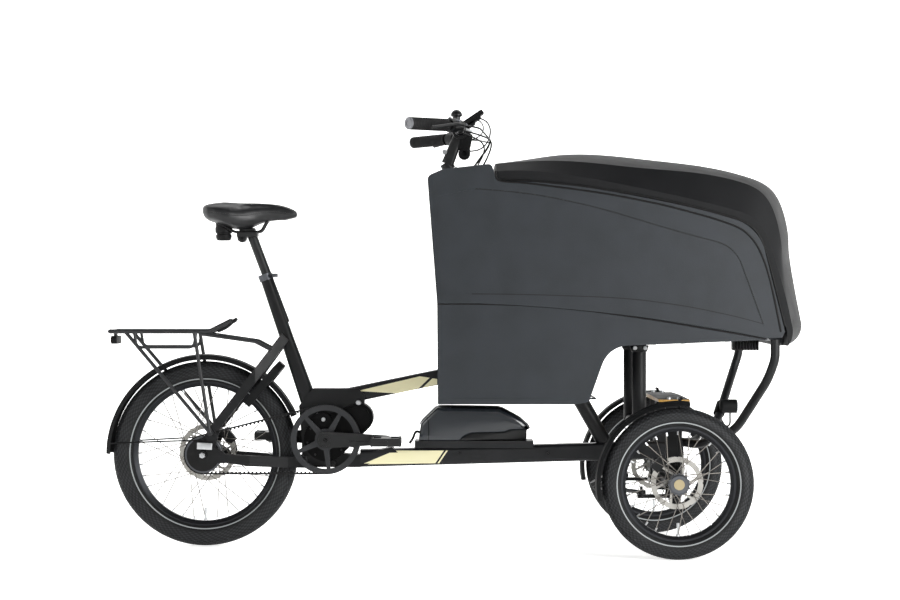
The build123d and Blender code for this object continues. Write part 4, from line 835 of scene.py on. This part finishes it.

# ---- leaf spring ----
# Pultruded glass fibre in amber resin, with fine lengthwise streaks under a satin skin. Its faces
# that point upwards are coloured with the black seal rubber. Steel screws clamp it to the tower.
leaf_composite, tree, shader, place = surface("amber_glass_fibre_composite", "#9c7434", 0.35)
stretched = add(tree, "Mapping", {"Scale": (1, 0.04, 1)}, {"Vector": place})
mottle(tree, shader, noise(tree, stretched.outputs["Vector"], size_of(1.5), 3.0), "#8a672d", "#c79c52")
dress(leaf_composite, "leaf_spring")
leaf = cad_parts["leaf_spring"].data
leaf.materials.append(seal_rubber)
for face in leaf.polygons:
    face.material_index = 1 if face.normal.z > 0.6 else 0
bm = bmesh.new()
for side in (-1, 1):
    for x in (0.585, 0.611):
        fastener(bm, (x, side * 0.222, 0.4192), (0, 0, 1), 0.0055, 0.005)
    for z, up in ((0.1425, -1), (0.2615, 1)):
        fastener(bm, (front_centre.x, side * 0.262, z), (0, 0, up), 0.0085, 0.004, sides=6)
    fastener(bm, (front_centre.x + side * 0.044, 0, 0.186), (side, 0, 0), 0.009, 0.004, sides=6, socket=False)
piece("front_axle_screws", bm, zinc_steel)

# ---- steering top ----
# A forged stem with steel pinch bolts, ribbed rubber grips with an alloy ring at each end, lever
# bodies with reservoir lids, a dome bell and a glass-fronted display. The grips are dead matte,
# the rings pale metal, the bell satin, and the display's glass mirrors.
grip_rubber = finish("moulded_grip_rubber", "#0d0d0e", 0.6, 1.5, 0.1, (0.7, 0.85), specular=0.4)
bar_end_alloy = finish("turned_grey_alloy", "#85868a", 0.35, 0.8, 0.01, (0.3, 0.42), metallic=0.7)
grip_way, corner = Vector((-0.734, 0.679, -0.02)).normalized(), Vector((0.023, 0.219, 1.157))


def turned(profile, steps):
    """A solid turned about Z from an outline of (radius, height) points."""
    bm = bmesh.new()
    point = bmesh.ops.create_vert(bm, co=(profile[0][0], 0, profile[0][1]))["vert"]
    for radius, height in profile[1:]:
        point = bmesh.ops.extrude_vert_indiv(bm, verts=point)["verts"]
        point[0].co = (radius, 0, height)
    full_turn(bm, (0, 0, 1), steps)
    bmesh.ops.holes_fill(bm, edges=bm.edges[:])
    outward(bm)
    return bm


def on_bar(side, along):
    """The direction of one grip, and a point that far along the bar from the bar's corner."""
    way = Vector((grip_way.x, side * grip_way.y, grip_way.z))
    return way, Vector((corner.x, side * corner.y, corner.z)) + way * along


profile = [(0.0127, 0.0002), (0.0168, 0.0002), (0.0172, 0.002)]
rib_count, rib_pitch, crest, groove = 22, 0.0055, 0.017, 0.016
for number in range(rib_count):
    z = 0.004 + number * rib_pitch
    profile += [(crest, z), (crest, z + 0.003), (groove, z + 0.0036), (groove, z + 0.0048)]
profile += [(0.0171, 0.1285), (0.0168, 0.1318), (0.0127, 0.1318)]
for side, label in both_sides:
    way, start = on_bar(side, 0.052)
    bm = turned(profile, 32)
    bmesh.ops.transform(bm, matrix=facing(start, way), verts=bm.verts[:])
    grip = piece(f"ribbed_grip_{label}", bm, grip_rubber, "steering")
    bm = bmesh.new()
    fastener(bm, start + way * 0.1316, way, 0.0165, 0.0035, sides=32)
    piece(f"bar_end_ring_{label}", bm, bar_end_alloy, "steering")
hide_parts("grips")

bm = bmesh.new()
fastener(bm, (-0.02, -0.0175, 1.1), (0, -1, 0), 0.0068, 0.006)
for side in (-1, 1):
    for z in (1.145, 1.171):
        fastener(bm, (0.0445, side * 0.015, z), (1, 0, 0), 0.0042, 0.005)
piece("stem_pinch_bolts", bm, zinc_steel, "steering")
bm = bmesh.new()
block(bm, at(0.034, -0.0275, 1.1645, 0.33), (0.052, 0.005, 0.0085), 0.0015, 2)
piece("stem_clamp_plate", bm, zinc_steel, "steering")
bm = bmesh.new()
fastener(bm, (0.035, 0.019, 1.0965), (0, -1, 0), 0.0155, 0.038, sides=36)
for y in (0.011, 0, -0.011):
    cylinder(bm, at(0.035, y, 1.0965) @ Matrix.Rotation(math.pi / 2, 4, "X"), 0.0168, 0.003, 36)
block(bm, at(0.037, 0, 1.129, 0.2), (0.036, 0.04, 0.05), 0.006, 4)
piece("round_stem_housing", bm, satin_polymer, "steering")

bell_alloy = finish("satin_black_bell_shell", "#19191b", 0.3, 1.0, 0.02, (0.26, 0.38), metallic=0.5)
bm = bmesh.new()
bell_at = Vector((0.013, -0.075, 1.1975))
bmesh.ops.create_uvsphere(bm, u_segments=36, v_segments=18, radius=0.016, matrix=Matrix.Translation(bell_at))
for vert in bm.verts:
    if vert.co.z < bell_at.z:
        vert.co.z = bell_at.z + (vert.co.z - bell_at.z) * 0.35
fastener(bm, bell_at + Vector((0, 0, -0.03)), (0, 0, 1), 0.0105, 0.026, sides=28, socket=False)
fastener(bm, (0.0235, -0.067, 1.157), (0, -1, 0), 0.0155, 0.016, sides=32, socket=False)
piece("bell", bm, bell_alloy, "steering")

display_glass, tree, shader, place = surface("tinted_display_glass", "#050607", 0.06, coat_weight=1.0)
tree.links.new(remap(tree, noise(tree, place, size_of(25)), 0.0, 1.0, 0.04, 0.12), shader.inputs["Roughness"])
tilt = at(0.06, 0, 1.196, math.radians(-34))
bm = bmesh.new()
block(bm, tilt @ at(0, 0, 0.0064), (0.056, 0.052, 0.0016), 0.0005, 2)
piece("display_glass", bm, display_glass, "steering")
bm = bmesh.new()
for x, long, deep in ((-0.006, 0.05, 0.007), (-0.016, 0.026, 0.012)):
    block(bm, tilt @ at(x, 0, -0.0055 - deep / 2), (long, 0.05, deep), 0.002)
piece("display_mount", bm, satin_polymer, "steering")

# Brake hoses in a black polymer sheath end in alloy unions at the levers, beside the gear cable
# and the thin leads of the display and the motor. Below the stem they pass through rubber
# grommets into the box's steering tunnel. The sheath draws thin satin lines.
hose_sheath = finish("extruded_hose_sheath", "#0b0b0c", 0.4, 1.0, 0.02, (0.34, 0.46))
dress(hose_sheath, "brake_cables")
for side, label in both_sides:
    stub = hose(f"hose_entry_{label}", [
        (0.0605, side * 0.0147, 1.0574), (0.057, side * 0.0137, 1.0526), (0.054, side * 0.0128, 1.047),
        (0.052, side * 0.0122, 1.038),
    ], 0.0024, hose_sheath, None)
    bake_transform(stub)
    bm = bmesh.new()
    fastener(bm, (0.0527, side * 0.0124, 1.0388), (0, 0, 1), 0.0085, 0.005, sides=24, socket=False)
    piece(f"hose_grommet_{label}", bm, seal_rubber)
hose("display_lead", [
    (0.072, -0.012, 1.196), (0.086, -0.012, 1.193), (0.1, -0.01, 1.184), (0.1085, -0.006, 1.166),
    (0.107, 0.0, 1.146), (0.1, 0.0, 1.128), (0.086, 0.0, 1.112), (0.066, 0.0, 1.104), (0.05, 0.0, 1.104),
], 0.002, hose_sheath, "steering")
hose("display_inner_lead", [
    (0.07, 0.014, 1.194), (0.082, 0.014, 1.188), (0.09, 0.012, 1.172), (0.086, 0.01, 1.154),
    (0.07, 0.008, 1.14), (0.052, 0.006, 1.136),
], 0.0018, hose_sheath, "steering")
hose("gear_cable", [
    (0.02, -0.205, 1.148), (0.05, -0.18, 1.143), (0.096, -0.11, 1.134), (0.11, -0.05, 1.128),
    (0.11, -0.018, 1.112), (0.1, -0.004, 1.086), (0.0875, 0.0, 1.0625), (0.0845, 0.0, 1.0565),
], 0.0023, hose_sheath, "steering")
entry = hose("gear_cable_entry", [
    (0.0845, 0, 1.0565), (0.081, 0, 1.05), (0.0785, 0, 1.044), (0.0775, 0, 1.036),
], 0.0023, hose_sheath, None)
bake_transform(entry)
hose("motor_lead", [
    (0.018, -0.15, 1.147), (0.044, -0.12, 1.14), (0.08, -0.07, 1.128), (0.092, -0.03, 1.112),
    (0.088, -0.01, 1.092), (0.076, -0.008, 1.07), (0.07, -0.008, 1.0565),
], 0.0021, hose_sheath, "steering")
entry = hose("motor_lead_entry", [
    (0.07, -0.008, 1.0565), (0.0675, -0.008, 1.0505), (0.0655, -0.008, 1.044), (0.065, -0.008, 1.036),
], 0.0021, hose_sheath, None)
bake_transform(entry)
bm = bmesh.new()
for side in (1, -1):
    way, start = on_bar(side, 0.03)
    ahead = Vector((0.679, side * 0.734, 0))
    fastener(bm, start + ahead * 0.026 + Vector((0, 0, 0.0085)), (0, 0, 1), 0.0078, 0.004, sides=28)
    fastener(bm, start - way * 0.01 + ahead * 0.034, -way, 0.004, 0.012, sides=6, socket=False)
    fastener(bm, start + way * 0.006 - ahead * 0.002 + Vector((0, 0, 0.0175)), (0, 0, 1), 0.004, 0.004)
piece("lever_lids_and_unions", bm, hub_alloy, "steering")

# ---- seat post ----
# A black alloy tube with a two-bolt yoke at its head, which holds the saddle's two spring-steel
# rails just under the pad's skirt.
post_low, post_head = Vector((-0.4665, 0, 0.6225)), Vector((-0.562, 0, 0.874))
bm = bmesh.new()
post_way, post_radius = post_head - post_low, 0.0136
cylinder(bm, facing((post_low + post_head) / 2, post_way), post_radius, post_way.length, 40)
block(bm, at(-0.5715, 0, 0.8705, -0.06), (0.058, 0.05, 0.016), 0.004, 4)
block(bm, at(-0.5715, 0, 0.8825, -0.06), (0.044, 0.04, 0.01), 0.004, 4)
drum(bm, at(-0.5865, 0, 0.8605) @ Matrix.Rotation(math.pi / 2, 4, "X"), 0.0125, 0.04, 1, 0.0025, 32, 3)
post = piece("seatpost_with_yoke", bm, forged_black, "saddle_post")
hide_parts("seatpost")
hose_pair("saddle_rail", [
    (-0.652, 0.03, 0.903), (-0.632, 0.027, 0.893), (-0.612, 0.022, 0.8785), (-0.596, 0.022, 0.8765),
    (-0.545, 0.022, 0.8765), (-0.531, 0.021, 0.88), (-0.523, 0.018, 0.896), (-0.513, 0.014, 0.912),
    (-0.496, 0.012, 0.926),
], 0.0035, anodised_black, "saddle_post")
bm = bmesh.new()
for side in (-1, 1):
    fastener(bm, (-0.5865, side * 0.0195, 0.8605), (0, side, 0), 0.0062, 0.004)
piece("saddle_clamp_bolts", bm, anodised_black, "saddle_post")

# ---- saddle ----
# Moulded foam under a grained vinyl cover, swollen by cloth simulation from a slightly smaller
# core: a round back, deep skirts beside the post and a blunt nose. Below its back hangs one
# stepped elastomer damper.
saddle_vinyl = finish("grained_vinyl", "#101113", 0.4, 1.3, 0.12, (0.34, 0.46))
bm = bmesh.new()
levels, round_count = [], 40
for x, half, low, top in (
    (-0.6965, 0.026, 0.93, 0.947), (-0.6905, 0.048, 0.917, 0.9515), (-0.679, 0.063, 0.9085, 0.9545),
    (-0.66, 0.073, 0.904, 0.956), (-0.638, 0.0755, 0.897, 0.9555), (-0.616, 0.072, 0.889, 0.9545),
    (-0.594, 0.064, 0.886, 0.953), (-0.571, 0.054, 0.889, 0.953), (-0.549, 0.044, 0.899, 0.953),
    (-0.527, 0.036, 0.9085, 0.952), (-0.504, 0.0295, 0.913, 0.9505), (-0.482, 0.0255, 0.915, 0.9485),
    (-0.46, 0.0225, 0.9145, 0.9445), (-0.443, 0.0195, 0.914, 0.938), (-0.4325, 0.014, 0.916, 0.931),
):
    middle, deep = (low + top) / 2, (top - low) / 2
    ring = []
    for number in range(round_count):
        angle = math.tau * number / round_count
        across, up = math.cos(angle), math.sin(angle)
        tuck = 1.0 if up > 0 else 1 - 0.1 * abs(up)
        y = math.copysign(abs(across) ** 0.62, across) * half * tuck
        ring.append(bm.verts.new((x, y, middle + math.copysign(abs(up) ** 0.8, up) * deep)))
    levels.append(ring)
for near, far in zip(levels, levels[1:]):
    for number in range(round_count):
        bm.faces.new((near[number], near[number - 1], far[number - 1], far[number]))
bm.faces.new(levels[0])
bm.faces.new(reversed(levels[-1]))
outward(bm)


def settle(obj):
    """Puts an object's modifiers into its mesh."""
    mesh = applied(obj)
    obj.modifiers.clear()
    obj.data = mesh
    return mesh


pad = piece("saddle_pad", bm, saddle_vinyl, None, angle=180)
remesh = pad.modifiers.new("remesh", "REMESH")
remesh.mode, remesh.voxel_size = "VOXEL", 0.0042
bpy.context.view_layer.update()
skin = settle(pad)
core = [v.co.copy() for v in skin.vertices]
cloth = pad.modifiers.new("swell", "CLOTH")
for key, value in {"quality": 5, "mass": 0.3, "tension_stiffness": 15, "bending_stiffness": 1.5,
                   "use_pressure": True, "uniform_pressure_force": 4}.items():
    setattr(cloth.settings, key, value)
cloth.settings.effector_weights.gravity = 0
last_moment = 20
cloth.point_cache.frame_start, cloth.point_cache.frame_end = 1, last_moment
for moment in range(1, last_moment + 1):
    bpy.context.scene.frame_set(moment)
settle(pad)
bpy.context.scene.frame_set(1)
most = 0.005
for vert, rest in zip(pad.data.vertices, core):
    move = vert.co - rest
    if move.length > most:
        vert.co = rest + move.normalized() * most
smooth = pad.modifiers.new("finish", "SUBSURF")
smooth.levels = smooth.render_levels = 1
bpy.context.view_layer.update()
finished = settle(pad)
for face in finished.polygons:
    face.use_smooth = True
coat(finished, saddle_vinyl)
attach(pad, "saddle_post")
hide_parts("saddle")

# The cover is sewn on each side by a low seam that follows the skirt, in the cover's own colour.
hose_pair("saddle_seam", [
    (-0.684, 0.056, 0.934), (-0.662, 0.0735, 0.931), (-0.638, 0.0765, 0.927), (-0.616, 0.0732, 0.923),
    (-0.594, 0.0655, 0.921), (-0.571, 0.0555, 0.922), (-0.549, 0.0455, 0.926), (-0.527, 0.0375, 0.93),
    (-0.504, 0.031, 0.9325), (-0.478, 0.0265, 0.932), (-0.452, 0.0225, 0.929),
], 0.0009, saddle_vinyl, "saddle_post")
bm = turned([
    (0.0, 0.8535), (0.0165, 0.8535), (0.0205, 0.857), (0.0222, 0.863), (0.0222, 0.8685), (0.02, 0.8705),
    (0.02, 0.8735), (0.0238, 0.8755), (0.024, 0.889), (0.0225, 0.8925), (0.0225, 0.908), (0.0, 0.908),
], 40)
bmesh.ops.translate(bm, verts=bm.verts[:], vec=(-0.6385, 0, 0))
piece("saddle_damper", bm, seal_rubber, "saddle_post")
